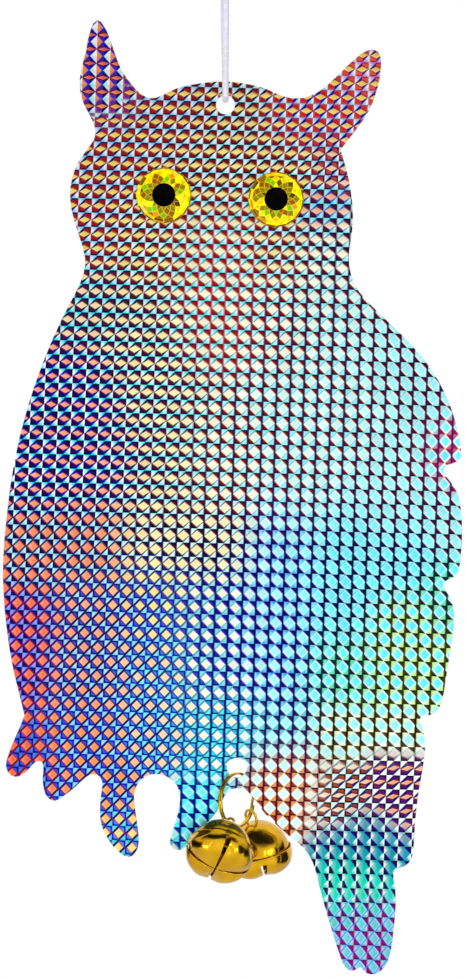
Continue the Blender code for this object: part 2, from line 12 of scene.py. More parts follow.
import bmesh
import bpy
import numpy as np
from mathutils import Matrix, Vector


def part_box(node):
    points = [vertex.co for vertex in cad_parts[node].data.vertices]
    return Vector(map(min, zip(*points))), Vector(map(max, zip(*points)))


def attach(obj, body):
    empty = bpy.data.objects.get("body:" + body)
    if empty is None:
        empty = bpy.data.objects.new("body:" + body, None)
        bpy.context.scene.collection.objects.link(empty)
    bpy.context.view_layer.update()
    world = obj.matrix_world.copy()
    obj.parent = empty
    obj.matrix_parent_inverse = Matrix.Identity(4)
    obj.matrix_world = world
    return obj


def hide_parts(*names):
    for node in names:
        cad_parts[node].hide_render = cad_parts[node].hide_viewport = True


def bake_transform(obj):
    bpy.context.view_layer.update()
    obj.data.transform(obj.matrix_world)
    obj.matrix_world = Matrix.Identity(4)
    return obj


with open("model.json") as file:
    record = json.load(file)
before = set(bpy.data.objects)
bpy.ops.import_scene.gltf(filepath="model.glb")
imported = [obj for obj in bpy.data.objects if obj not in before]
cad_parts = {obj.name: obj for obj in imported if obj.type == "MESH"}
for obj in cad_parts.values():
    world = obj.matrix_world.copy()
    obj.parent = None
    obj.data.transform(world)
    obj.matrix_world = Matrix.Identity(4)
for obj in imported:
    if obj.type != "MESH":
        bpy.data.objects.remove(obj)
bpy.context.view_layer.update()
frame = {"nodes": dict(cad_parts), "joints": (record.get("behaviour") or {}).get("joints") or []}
nodes = frame["nodes"]
joints = {joint["name"]: joint for joint in frame["joints"]}

# %% [markdown]
# ## The photograph's pixels and the owl's millimetres
#
# The board is 178 mm wide and 370 mm high. On the photograph its sides lie at two pixel columns and
# its top at a pixel row. Two short functions turn any pixel into metres, so that every mark which
# is read off the picture can be typed as it was read.

# %% Pixels to metres
MM = 0.001
IMAGE_SIZE = (465, 978)
BOARD_LEFT_PIXEL = 3.0
BOARD_RIGHT_PIXEL = 462.0
BOARD_TOP_PIXEL = 20.5
board_low, board_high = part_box("core_board")
PIXEL = (board_high.x - board_low.x) / (BOARD_RIGHT_PIXEL - BOARD_LEFT_PIXEL)


def across(px):
    """World X of a pixel column: left edge of the board plus so many pixels."""
    return board_low.x + (px - BOARD_LEFT_PIXEL) * PIXEL


def up(py):
    """World Z of a pixel row: top edge of the board minus so many pixels."""
    return board_high.z - (py - BOARD_TOP_PIXEL) * PIXEL


print(f"one pixel is {PIXEL / MM:.4f} mm")

# %% [markdown]
# ## Camera, lamps and background
#
# The photograph was taken straight from the front with no visible perspective, so the camera
# stands two metres away with a long lens. Its frame is the photograph's frame at the board.

# %% Camera
CAMERA_DISTANCE = 2.0
SENSOR = 36.0
frame_height = IMAGE_SIZE[1] * PIXEL
camera_data = bpy.data.cameras.new("front_camera")
camera_data.sensor_fit = "VERTICAL"
camera_data.sensor_height = SENSOR
camera_data.lens = SENSOR * CAMERA_DISTANCE / frame_height
camera = bpy.data.objects.new("front_camera", camera_data)
camera.location = (across(IMAGE_SIZE[0] / 2), -CAMERA_DISTANCE, up(IMAGE_SIZE[1] / 2))
camera.rotation_euler = (math.pi / 2, 0, 0)
bpy.context.scene.collection.objects.link(camera)
bpy.context.scene.camera = camera
bpy.context.scene.view_settings.view_transform = "Standard"
print(f"lens {camera_data.lens:.1f} mm, frame {frame_height / MM:.0f} mm high")

# %% [markdown]
# ## Writing shaders as sums
#
# A material is a net of nodes, but it is easier to read as arithmetic. This small class holds
# one output socket and gives it Python's operators: `1 - mask` adds a Math node behind the
# scenes. Any other node comes from one method, which sets the node's own settings first and then
# the values or links of its sockets.

# %% A socket with operators
class Wire:
    """One output of a shader node that can stand in a Python expression."""

    def __init__(self, tree, socket=None):
        self.tree, self.socket = tree, socket

    def node(self, kind, settings=None, inputs=None, output=0):
        """A new node of a kind, with its settings, then the values or links of its inputs."""
        made = self.tree.nodes.new(kind)
        for name, value in (settings or {}).items():
            setattr(made, name, value)
        for name, value in (inputs or {}).items():
            if isinstance(value, Wire):
                self.tree.links.new(value.socket, made.inputs[name])
            else:
                made.inputs[name].default_value = value
        return Wire(self.tree, made.outputs[output])

    def math(self, operation, *values, clamp=False):
        """A Math node on these values, which are Wires or plain numbers."""
        settings = {"operation": operation, "use_clamp": clamp}
        return self.node("ShaderNodeMath", settings, dict(enumerate(values)))

    def __add__(self, other):
        return self.math("ADD", self, other)

    def __sub__(self, other):
        return self.math("SUBTRACT", self, other)

    def __rsub__(self, other):
        return self.math("SUBTRACT", other, self)

    def __mul__(self, other):
        return self.math("MULTIPLY", self, other)

    def __rmul__(self, other):
        return self.math("MULTIPLY", other, self)

    def __truediv__(self, other):
        return self.math("DIVIDE", self, other)

    def __abs__(self):
        return self.math("ABSOLUTE", self)

    def above(self, edge, soft):
        """1 where the value is over the edge, 0 under it, and a straight rise as wide as soft."""
        return self.math("MULTIPLY_ADD", self - edge, 1 / soft, 0.5, clamp=True)

    def mixed(self, other, share):
        """This colour, or another one where the share is 1."""
        return self.node("ShaderNodeMix", {"data_type": "RGBA"}, {0: share, 6: self, 7: other}, 2)


print("a Wire adds, subtracts, multiplies, divides and mixes")

# %% [markdown]
# Nearly every finish here needs the same few things: a colour given as the eye reads it, a place
# to start, a plain colour, some noise, a number or a colour that the mesh keeps, and a bump. Each
# becomes a function of one or two lines, so that a finish can be read like a recipe.

# %% Colours, materials and their usual nodes
def tint(red, green, blue):
    """A colour as the eye reads it, 0 to 255, turned into the shader's linear numbers."""
    shares = np.array([red, green, blue]) / 255
    linear = np.where(shares <= 0.04045, shares / 12.92, ((shares + 0.055) / 1.055) ** 2.4)
    return (*linear.tolist(), 1.0)


def new_material(name, **sockets):
    """A material with its Principled sockets set, with a Wire for its tree and its shader node."""
    material = bpy.data.materials.new(name)
    material.use_nodes = True
    tree = material.node_tree
    shader = tree.nodes["Principled BSDF"]
    for key, value in sockets.items():
        shader.inputs[key.replace("_", " ")].default_value = value
    return material, Wire(tree), shader


def stored_color(wire, name):
    """A colour that the mesh keeps for its points or faces."""
    return wire.node("ShaderNodeAttribute", {"attribute_name": name})


def stored_number(wire, name):
    """A number that the mesh keeps for its points."""
    return wire.node("ShaderNodeAttribute", {"attribute_name": name}, None, 2)


def paint(wire, color):
    """One plain colour."""
    plain = wire.node("ShaderNodeRGB")
    plain.socket.default_value = color
    return plain


def grain(wire, scale, detail):
    """Noise on the object's own coordinates, with so many waves to the metre."""
    place = wire.node("ShaderNodeTexCoord", output=3)
    inputs = {"Vector": place, "Scale": scale, "Detail": detail}
    return wire.node("ShaderNodeTexNoise", None, inputs)


def feed(wire, shader, socket):
    """Links a Wire to one socket of the shader."""
    wire.tree.links.new(wire.socket, shader.inputs[socket])


def ridges(height, distance, strength=1.0):
    """A Bump node's normal for a height."""
    return height.node("ShaderNodeBump", None,
                       {"Height": height, "Distance": distance, "Strength": strength})


print("a middle grey of 128 is", round(tint(128, 128, 128)[0], 3), "as a linear number")

# %% [markdown]
# The background is plain white for whatever looks straight at it, also through metal and glass,
# and a weaker white for the light that it gives. A backdrop would do the same, but it would hide
# the object from some sides.

# %% World
WORLD_LIGHT = 0.62


def make_world():
    """White for rays that look straight at it, and a weaker white for the light that it gives."""
    world = bpy.data.worlds.new("white_room")
    bpy.context.scene.world = world
    world.use_nodes = True
    wire = Wire(world.node_tree)
    path = wire.node("ShaderNodeLightPath").socket.node.outputs
    camera_ray, glossy_ray, clear_ray = (
        Wire(wire.tree, path[kind])
        for kind in ("Is Camera Ray", "Is Glossy Ray", "Is Transmission Ray"))
    plain = wire.math("MAXIMUM", wire.math("MAXIMUM", camera_ray, glossy_ray), clear_ray)
    strength = plain * (1 - WORLD_LIGHT) + WORLD_LIGHT
    background = world.node_tree.nodes["Background"]
    background.inputs["Color"].default_value = (1, 1, 1, 1)
    wire.tree.links.new(strength.socket, background.inputs["Strength"])


make_world()
print("white background that lights at", WORLD_LIGHT)

# %% [markdown]
# Two large soft lamps stand in front, the stronger one at the left, where the photograph's light
# comes from. Reflections don't see them, because two white squares on the film would wash it out.

# %% Lamps
LAMPS = {
    # name: place, width, watts
    "key_lamp": ((-0.9, -1.5, 0.35), 0.45, 17.0),
    "fill_lamp": ((1.1, -1.3, 0.1), 0.6, 9.0),
}


def make_lamp(name, place, width, watts):
    """A square lamp that faces the middle of the board and leaves no glare on the film."""
    data = bpy.data.lights.new(name, "AREA")
    data.size, data.energy = width, watts
    lamp = bpy.data.objects.new(name, data)
    lamp.location = place
    aim = Vector((0, 0, up(IMAGE_SIZE[1] / 2))) - Vector(place)
    lamp.rotation_euler = aim.to_track_quat("-Z", "Y").to_euler()
    lamp.visible_glossy = False
    bpy.context.scene.collection.objects.link(lamp)


for lamp_name, (lamp_place, lamp_width, lamp_watts) in LAMPS.items():
    make_lamp(lamp_name, lamp_place, lamp_width, lamp_watts)
print("lamps:", ", ".join(LAMPS))

# %% [markdown]
# The floor is far below the owl, as under something that hangs, and keeps its shadow.

# %% Floor
FLOOR_Z = -0.75
FLOOR_SIZE = 3.0


def add_mesh(name, points, faces):
    """A mesh object from an array of points and an array of faces, linked at the origin."""
    mesh = bpy.data.meshes.new(name)
    mesh.from_pydata(np.asarray(points).reshape(-1, 3).tolist(), [], np.asarray(faces).tolist())
    obj = bpy.data.objects.new(name, mesh)
    bpy.context.scene.collection.objects.link(obj)
    return obj


def make_floor():
    """A square sheet, far below, that keeps the object's shadow."""
    half = FLOOR_SIZE / 2
    corners = np.array([(-half, -half, 0), (half, -half, 0), (half, half, 0), (-half, half, 0)])
    floor = add_mesh("floor", corners + (0, 0, FLOOR_Z), [(0, 1, 2, 3)])
    material, _, shader = new_material("pale_floor", Roughness=0.9)
    shader.inputs["Base Color"].default_value = tint(244, 244, 244)
    floor.data.materials.append(material)


make_floor()
print(f"floor {-FLOOR_Z:.2f} m below the frame's origin")

# %% [markdown]
# ## Surfaces from two parameters
#
# Nearly every new piece is a grid: row after row of points along one parameter, column after
# column along the other. One function joins such a grid with four-sided faces, closing it round
# one way where the shape is round.

# %% Faces of a grid
def grid_faces(rows, columns, close_rows=False, close_columns=True):
    """Four-sided faces between neighbours of a rows by columns grid, counted row by row."""
    row = np.arange(rows if close_rows else rows - 1)
    column = np.arange(columns if close_columns else columns - 1)
    r, c = np.meshgrid(row, column, indexing="ij")
    down, right = (r + 1) % rows, (c + 1) % columns
    quads = np.stack([r * columns + c, r * columns + right, down * columns + right,
                      down * columns + c], axis=-1)
    return quads.reshape(-1, 4)


print("a tube of 3 rings and 4 sides has", len(grid_faces(3, 4)), "side faces")

# %% [markdown]
# The cord, the bails and the cups' profile are paths. A path is typed as a few points and then
# smoothed, with its new points evenly apart. What is carried along it needs two directions across
# it at every point. Each is the one before, made square to the path again, since directions that
# are worked out afresh from the bend would flip over where the bend changes sides.

# %% Smooth paths
STEPS_BETWEEN = 40
SLANTED = (0.31, 0.2, 0.93)  # no path here starts this way


def along(path):
    """Tangent, side and third direction of a path: the side is carried on, so nothing twists."""
    tangent = np.gradient(path, axis=0)
    tangent /= np.linalg.norm(tangent, axis=1, keepdims=True)
    side = np.empty_like(tangent)
    seed = np.cross(tangent[0], SLANTED)
    side[0] = seed / np.linalg.norm(seed)
    for i in range(1, len(path)):
        flat = side[i - 1] - tangent[i] * np.dot(side[i - 1], tangent[i])
        side[i] = flat / np.linalg.norm(flat)
    return tangent, side, np.cross(tangent, side)


def path_length(path):
    """Distance run along a path at each of its points."""
    return np.concatenate([[0], np.cumsum(np.linalg.norm(np.diff(path, axis=0), axis=1))])


def even_path(points, spacing):
    """Points a set distance apart on a smooth curve through the given ones.

    Between two given points the curve is the Catmull-Rom cubic, whose tangent at each point is
    half the step from the point before to the point after.
    """
    points = np.asarray(points, float)
    ends = np.vstack([2 * points[0] - points[1], points, 2 * points[-1] - points[-2]])
    share = np.linspace(0, 1, STEPS_BETWEEN, endpoint=False)[:, None]
    a, b, c, d = (ends[i:len(ends) - 3 + i, None, :] for i in range(4))
    curve = 0.5 * (2 * b + (c - a) * share + (2 * a - 5 * b + 4 * c - d) * share ** 2
                   + (3 * b - a - 3 * c + d) * share ** 3)
    curve = np.vstack([curve.reshape(-1, 3), points[-1]])
    run = path_length(curve)
    stops = np.linspace(0, run[-1], max(2, round(run[-1] / spacing) + 1))
    return np.stack([np.interp(stops, run, curve[:, i]) for i in range(3)], axis=1)


print("a smooth bend over three points:", len(even_path([(0, 0, 0), (1, 0, 0), (1, 1, 0)], 0.1)),
      "points")

# %% [markdown]
# A tube is the same kind of grid, carried along a path. A curve object with a bevel would make one
# too, but its section would be round everywhere. Here the radius may differ at every point, which
# the grooves of a braid need.

# %% Tubes
WELD = 1e-7


def tube(name, path, radius, around=16, closed=False):
    """A tube: each path point plus the radius times cosine and sine of the angle round it.

    The radius is one number, or an array with a value for every (path point, angle).
    """
    _, side, third = along(path)
    angle = np.linspace(0, 2 * math.pi, around, endpoint=False)
    radius = np.broadcast_to(radius, (len(path), around))
    ring = (side[:, None] * np.cos(angle)[None, :, None]
            + third[:, None] * np.sin(angle)[None, :, None])
    points = path[:, None] + ring * radius[..., None]
    faces = grid_faces(len(path), around, close_rows=closed)
    obj = add_mesh(name, points, faces)
    if not closed:
        cap_ends(obj, len(path), around)
    face_outwards(obj)
    return obj


def cap_ends(obj, rows, columns):
    """Closes the first and last ring of a tube with one face each."""
    shape = bmesh.new()
    shape.from_mesh(obj.data)
    shape.verts.ensure_lookup_table()
    for first in (0, (rows - 1) * columns):
        shape.faces.new([shape.verts[first + i] for i in range(columns)])
    shape.to_mesh(obj.data)
    shape.free()


def face_outwards(obj, merge=WELD):
    """Merges doubled points, then turns all faces to the outside."""
    shape = bmesh.new()
    shape.from_mesh(obj.data)
    bmesh.ops.remove_doubles(shape, verts=shape.verts, dist=merge)
    bmesh.ops.recalc_face_normals(shape, faces=shape.faces)
    shape.to_mesh(obj.data)
    shape.free()


print(f"doubled points closer than {WELD / MM:.4f} mm become one")

# %% [markdown]
# Every finished piece is told three things: its material, the body that it rides on, and the node
# of the imported model that it stands for, which is then hidden. A node that is right as it is
# keeps its mesh and only gets a material.

# %% Dressing a piece
def keep_coordinate(obj, name, values):
    """Stores one number for every point of a mesh, for its material to read."""
    layer = obj.data.attributes.new(name, "FLOAT", "POINT")
    layer.data.foreach_set("value", np.asarray(values, dtype=np.float32).ravel())


def dress(obj, material, body, replaced=()):
    """Gives a finished piece its material and its body, and hides the CAD nodes it stands for."""
    obj.data.materials.clear()
    obj.data.materials.append(material)
    if body:
        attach(obj, body)
    if replaced:
        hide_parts(*replaced)
    return obj


def finish_nodes(names, material):
    """Gives CAD nodes that stay as they are a material of their own."""
    for name in names:
        nodes[name].data.materials.clear()
        nodes[name].data.materials.append(material)


print(len(nodes), "nodes to keep or to replace")

# %% [markdown]
# ## The cord
#
# The real cord is a thin white braid. One length runs down the front of the head, round through
# the hole and up the back, and a knot above the hook's place joins its ends. Its route repeats
# the CAD cord's points. The braid is cut into the tube's radius: two families of strands wind
# against each other, and whichever stands higher shows.

# %% Route of the cord
CORD_DIAMETER = 2.5 * MM
BOARD_HALF = 1.0 * MM
SEAT_GAP = 0.3 * MM
HOLE_RADIUS = 3.7 * MM
HOLE_Z = -44.5 * MM
FRONT_STRAND = [(0.0003, 0.0014, 0.0018), (0.0003, 0.0018, 0.0000), (0.0002, 0.0032, -0.0048),
                (0.0002, 0.0034, -0.0100), (0.0001, 0.0030, -0.0200), (0.0000, 0.0026, -0.0300)]
REAR_STRAND = [(-0.0005, 0.0014, 0.0018), (-0.0005, 0.0018, 0.0000), (-0.0006, 0.0032, -0.0048),
               (-0.0006, 0.0034, -0.0100), (-0.0004, 0.0030, -0.0200), (-0.0001, 0.0026, -0.0300)]
BIGHT_POINTS = 12
hug_radius = SEAT_GAP + CORD_DIAMETER / 2
bight_z = HOLE_Z + HOLE_RADIUS


def cord_route():
    """Front strand down, close round the hole's edge, rear strand up, as one smooth path.

    Round the edge it is a quarter circle about each corner of the board, level in between.
    """
    front = [(x, -y, z) for x, y, z in FRONT_STRAND]
    turn = np.linspace(0, math.pi, BIGHT_POINTS)
    corner = BOARD_HALF * np.sign(np.cos(turn))
    bight = np.stack([0 * turn, -corner - hug_radius * np.cos(turn),
                      bight_z - hug_radius * np.sin(turn)], 1)
    return even_path(np.vstack([front, bight, REAR_STRAND[::-1]]), spacing=0.25 * MM)


cord_path = cord_route()

# %% [markdown]
# The strands of the braid could be modelled one by one, but at this size they only show as a fine
# herringbone. So the grooves between them are pressed into one tube, and every point remembers how
# deep in a groove it lies. The material paints shade there, a faint lilac grey, and adds a fine
# hair.

# %% Braid of the cord
BRAID_PITCH = 7.0 * MM
BRAID_STRANDS = 8
BRAID_DEPTH = 0.06


def braid_radius(path, around, diameter):
    """Radius = half the diameter, less a groove between strands.

    A strand of either family is high where the cosine of (strands x angle +/- turns x run) is 1.
    """
    run = path_length(path)[:, None] * 2 * math.pi / BRAID_PITCH
    angle = np.linspace(0, 2 * math.pi, around, endpoint=False)[None]
    left = np.cos(BRAID_STRANDS / 2 * (angle + run))
    right = np.cos(BRAID_STRANDS / 2 * (angle - run) + math.pi / 2)
    high = np.maximum(np.abs(left), np.abs(right))
    return diameter / 2 * (1 - BRAID_DEPTH * (1 - high) / (1 - math.sqrt(0.5)))


def braid_material():
    """White polyester: painted lilac shade in the grooves and fine hair along the strands."""
    material, wire, shader = new_material("white_braid", Roughness=0.85, Sheen_Weight=0.2)
    groove = stored_number(wire, "groove")
    hair = grain(wire, 1900.0, 1.0)
    white = paint(wire, tint(232, 231, 238))
    # painted shade: the deeper a point lies in a groove, the more it turns a darker lilac grey
    color = white.mixed(tint(190, 188, 204), groove.math("MULTIPLY", groove, 0.8, clamp=True))
    color = color.mixed(tint(186, 184, 200), hair.above(0.52, 0.14) * 0.8)
    feed(color, shader, "Base Color")
    feed(ridges(hair, 0.08 * MM), shader, "Normal")
    return material


cord_white = braid_material()


def braided_cord(name, path, diameter, around=24):
    """A braided tube that remembers how deep in a groove each of its points lies."""
    radius = braid_radius(path, around, diameter)
    obj = tube(name, path, radius, around)
    depth = (1 - radius / (diameter / 2)) / BRAID_DEPTH
    keep_coordinate(obj, "groove", depth)
    obj.data.shade_smooth()
    return obj


cord = braided_cord("braided_cord", cord_path, CORD_DIAMETER)
dress(cord, cord_white, None, ["hanging_cord"])
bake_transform(cord)
print("cord mesh:", len(cord.data.polygons), "faces")

# %% [markdown]
# The knot is out of the photograph's view, just above its top edge. Two turns of cord wound round
# the pair of strands make it, and the cut ends stand out above. A short braided core on either
# side stands for the strands inside the winding.

# %% Knot and cut ends
KNOT_TURNS = 2.2
KNOT_POINTS = 160
KNOT_TAPER = 0.08
KNOT_START_WIDTH = 0.35
CORE_POINTS = 60
CORE_INSET = 0.2 * MM
CORE_OFFSET = 0.3  # in cord diameters, like the next two
CORE_WIDTH = 0.92
TAIL_WIDTH = 0.98


def make_knot():
    """A helix of two turns round the strands: radius times cosine and sine, rising evenly."""
    low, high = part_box("cord_knot")
    wind_radius = (high.x - low.x) / 2 - CORD_DIAMETER / 2
    rise = np.linspace(0, 1, KNOT_POINTS)
    angle = 2 * math.pi * KNOT_TURNS * rise - math.pi / 2
    z = low.z + CORD_DIAMETER / 2 + rise * (high.z - low.z - CORD_DIAMETER)
    taper = np.clip(np.minimum(rise, 1 - rise) / KNOT_TAPER, 0, 1)
    radius = wind_radius * (KNOT_START_WIDTH + (1 - KNOT_START_WIDTH) * np.sqrt(taper))
    winding = np.stack([radius * np.cos(angle), radius * np.sin(angle), z], 1)
    turns = braided_cord("knot_turns", winding, CORD_DIAMETER)
    dress(turns, cord_white, "hanger", ["cord_knot"])
    middle = np.linspace(low.z + CORE_INSET, high.z - CORE_INSET, CORE_POINTS)
    for side, name in ((-1, "knot_core_left"), (1, "knot_core_right")):
        core = np.stack([0 * middle + side * CORD_DIAMETER * CORE_OFFSET, 0 * middle, middle], 1)
        strands = braided_cord(name, core, CORD_DIAMETER * CORE_WIDTH)
        dress(strands, cord_white, "hanger")


def make_tail(name):
    """A cut end that follows its CAD node from its foot to its tip."""
    low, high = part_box(name)
    lean = 1 if low.x + high.x > 0 else -1
    inner = low.x if lean > 0 else high.x
    outer = high.x if lean > 0 else low.x
    foot = (inner + lean * CORD_DIAMETER / 2, 0, low.z)
    tip = (outer - lean * CORD_DIAMETER / 2, 0, high.z - 0.3 * MM)
    bend = (foot[0] + lean * 0.1 * MM, 0, low.z + CORD_DIAMETER)
    path = even_path([foot, bend, tip], spacing=0.3 * MM)
    tail = braided_cord(name + "_braid", path, CORD_DIAMETER * TAIL_WIDTH)
    dress(tail, cord_white, "hanger", [name])


make_knot()
make_tail("cord_tail_left")
make_tail("cord_tail_right")
print("knot and two cut ends")

# %% [markdown]
# ## Prismatic laser film
#
# The film is pressed into rows of small square cells. Each cell holds a diamond, its edge and four
# corners, and every one of these facets sends another part of the rainbow to the eye. The hue
# drifts slowly over the owl, because the angle to the lamps does. Cutting some twenty thousand
# facets into the mesh would make it heavy, and they are too flat to be felt.
#
# So the finish has two layers. Slow colours, one set for each kind of facet, are worked out with
# numpy on the film's own points, from a list of areas that a maker would name: head, ears, breast,
# wings, feet, tail. The shader then only finds, from the place on the sheet, which facet it is in.

# %% The colours that the film can show
WHITE, PEARL, ICE = tint(255, 255, 255), tint(230, 246, 244), tint(206, 252, 250)
FROST, CYAN, AQUA = tint(150, 240, 250), tint(88, 238, 250), tint(30, 222, 250)
SKY, AZURE, BLUE = tint(130, 206, 250), tint(64, 140, 246), tint(52, 72, 228)
ROYAL, NAVY, INK = tint(8, 16, 172), tint(8, 8, 104), tint(14, 6, 52)
BLACK, PLUM, WINE = tint(14, 6, 16), tint(62, 14, 72), tint(88, 8, 44)
MAROON, RUST, BROWN = tint(118, 20, 22), tint(168, 66, 30), tint(92, 48, 24)
MOSS, FOREST, TEAL = tint(54, 58, 10), tint(0, 50, 54), tint(12, 146, 166)
SEA, GREEN, MINT = tint(96, 196, 202), tint(8, 212, 178), tint(96, 224, 160)
LIME, CREAM, STRAW = tint(190, 238, 140), tint(252, 248, 220), tint(250, 236, 164)
LEMON, YELLOW, OCHRE = tint(250, 226, 124), tint(250, 212, 84), tint(216, 146, 66)
PEACH, SALMON, ORANGE = tint(252, 208, 164), tint(252, 160, 116), tint(252, 148, 74)
CORAL, RED, CRIMSON = tint(240, 96, 72), tint(214, 26, 28), tint(196, 28, 56)
ROSE, MAGENTA, PURPLE = tint(198, 74, 88), tint(146, 10, 104), tint(82, 12, 118)
VIOLET, LILAC, LAVENDER = tint(92, 56, 210), tint(196, 150, 246), tint(206, 202, 246)
BRICK, TERRA, EMBER = tint(164, 20, 28), tint(248, 140, 92), tint(242, 104, 52)
COBALT = tint(28, 40, 220)
print("the film shows 46 colours")

# %% [markdown]
# The facets change shape over the sheet too: flat diamonds on the head, upright squares at the
# hips, and on the right side the diamond and the falling corners run together to a hexagon. So a
# cut holds eight numbers: the diamond's half width and half height in cells, how far it slants up
# to the right, how much of the strip between columns shows, how far out from the middle the
# diamond's edge, the wedge and the leaf in the rising corner reach, and whether the cell is parted
# into a left and a right half (1) instead of rising and falling corners (0), as in the left ear.

# %% Cuts of the film
FILM_CUTS = {
    "ear": (0.42, 0.14, 0.0, 0.0, 1.9, 0.52, 0.60, 1.0),
    "flat": (0.41, 0.21, 0.05, 0.3, 1.4, 0.48, 1.2, 0.0),
    "breast": (0.42, 0.25, 0.0, 0.3, 1.25, 0.49, 1.2, 0.0),
    "throat": (0.43, 0.30, 0.0, 0.8, 1.22, 0.49, 1.2, 0.0),
    "belly": (0.43, 0.35, 0.0, 1.0, 1.2, 0.49, 1.2, 0.0),
    "wing": (0.36, 0.19, -0.08, 0.0, 1.35, 0.50, 1.2, 0.0),
    "hexagon": (0.42, 0.40, 0.0, 1.0, 1.18, 0.49, 1.2, 0.0),
    "wide hexagon": (0.44, 0.43, 0.0, 1.0, 1.13, 0.49, 1.2, 0.0),
    "flank": (0.37, 0.36, -0.05, 0.1, 1.3, 0.56, 1.2, 0.0),
    "square": (0.34, 0.34, 0.0, 0.3, 1.35, 0.58, 0.70, 0.0),
    "soft square": (0.37, 0.34, 0.0, 1.0, 1.3, 0.55, 0.74, 0.0),
    "leaf": (0.42, 0.22, 0.0, 0.0, 1.35, 0.55, 0.66, 0.0),
    "root": (0.44, 0.16, 0.18, 0.2, 1.6, 0.50, 1.2, 0.0),
    "tail": (0.42, 0.40, 0.0, 0.0, 1.2, 0.45, 1.2, 0.0),
    "tall tail": (0.32, 0.62, -0.1, 0.0, 1.1, 0.45, 1.2, 0.0),
    "slant tail": (0.38, 0.44, 0.0, 0.6, 1.15, 0.54, 1.2, 0.0),
    "rim": (0.38, 0.41, 0.0, 1.0, 1.2, 0.54, 1.2, 0.0),
}
SHAPES = ("diamond_width", "diamond_height", "slant", "column_share", "edge_reach", "wedge_reach",
          "leaf_reach", "sided")
print(len(FILM_CUTS), "cuts of", len(SHAPES), "numbers")

# %% [markdown]
# A mood is a cut with the eight colours that its facets show where the lamps strike the film at
# one angle: the diamond, its edge on the rising side, the rising corner's leaf and border, the
# thin wedge beside the diamond on the falling side, the falling corner beside the upright border
# and at its top, and the strip between columns.

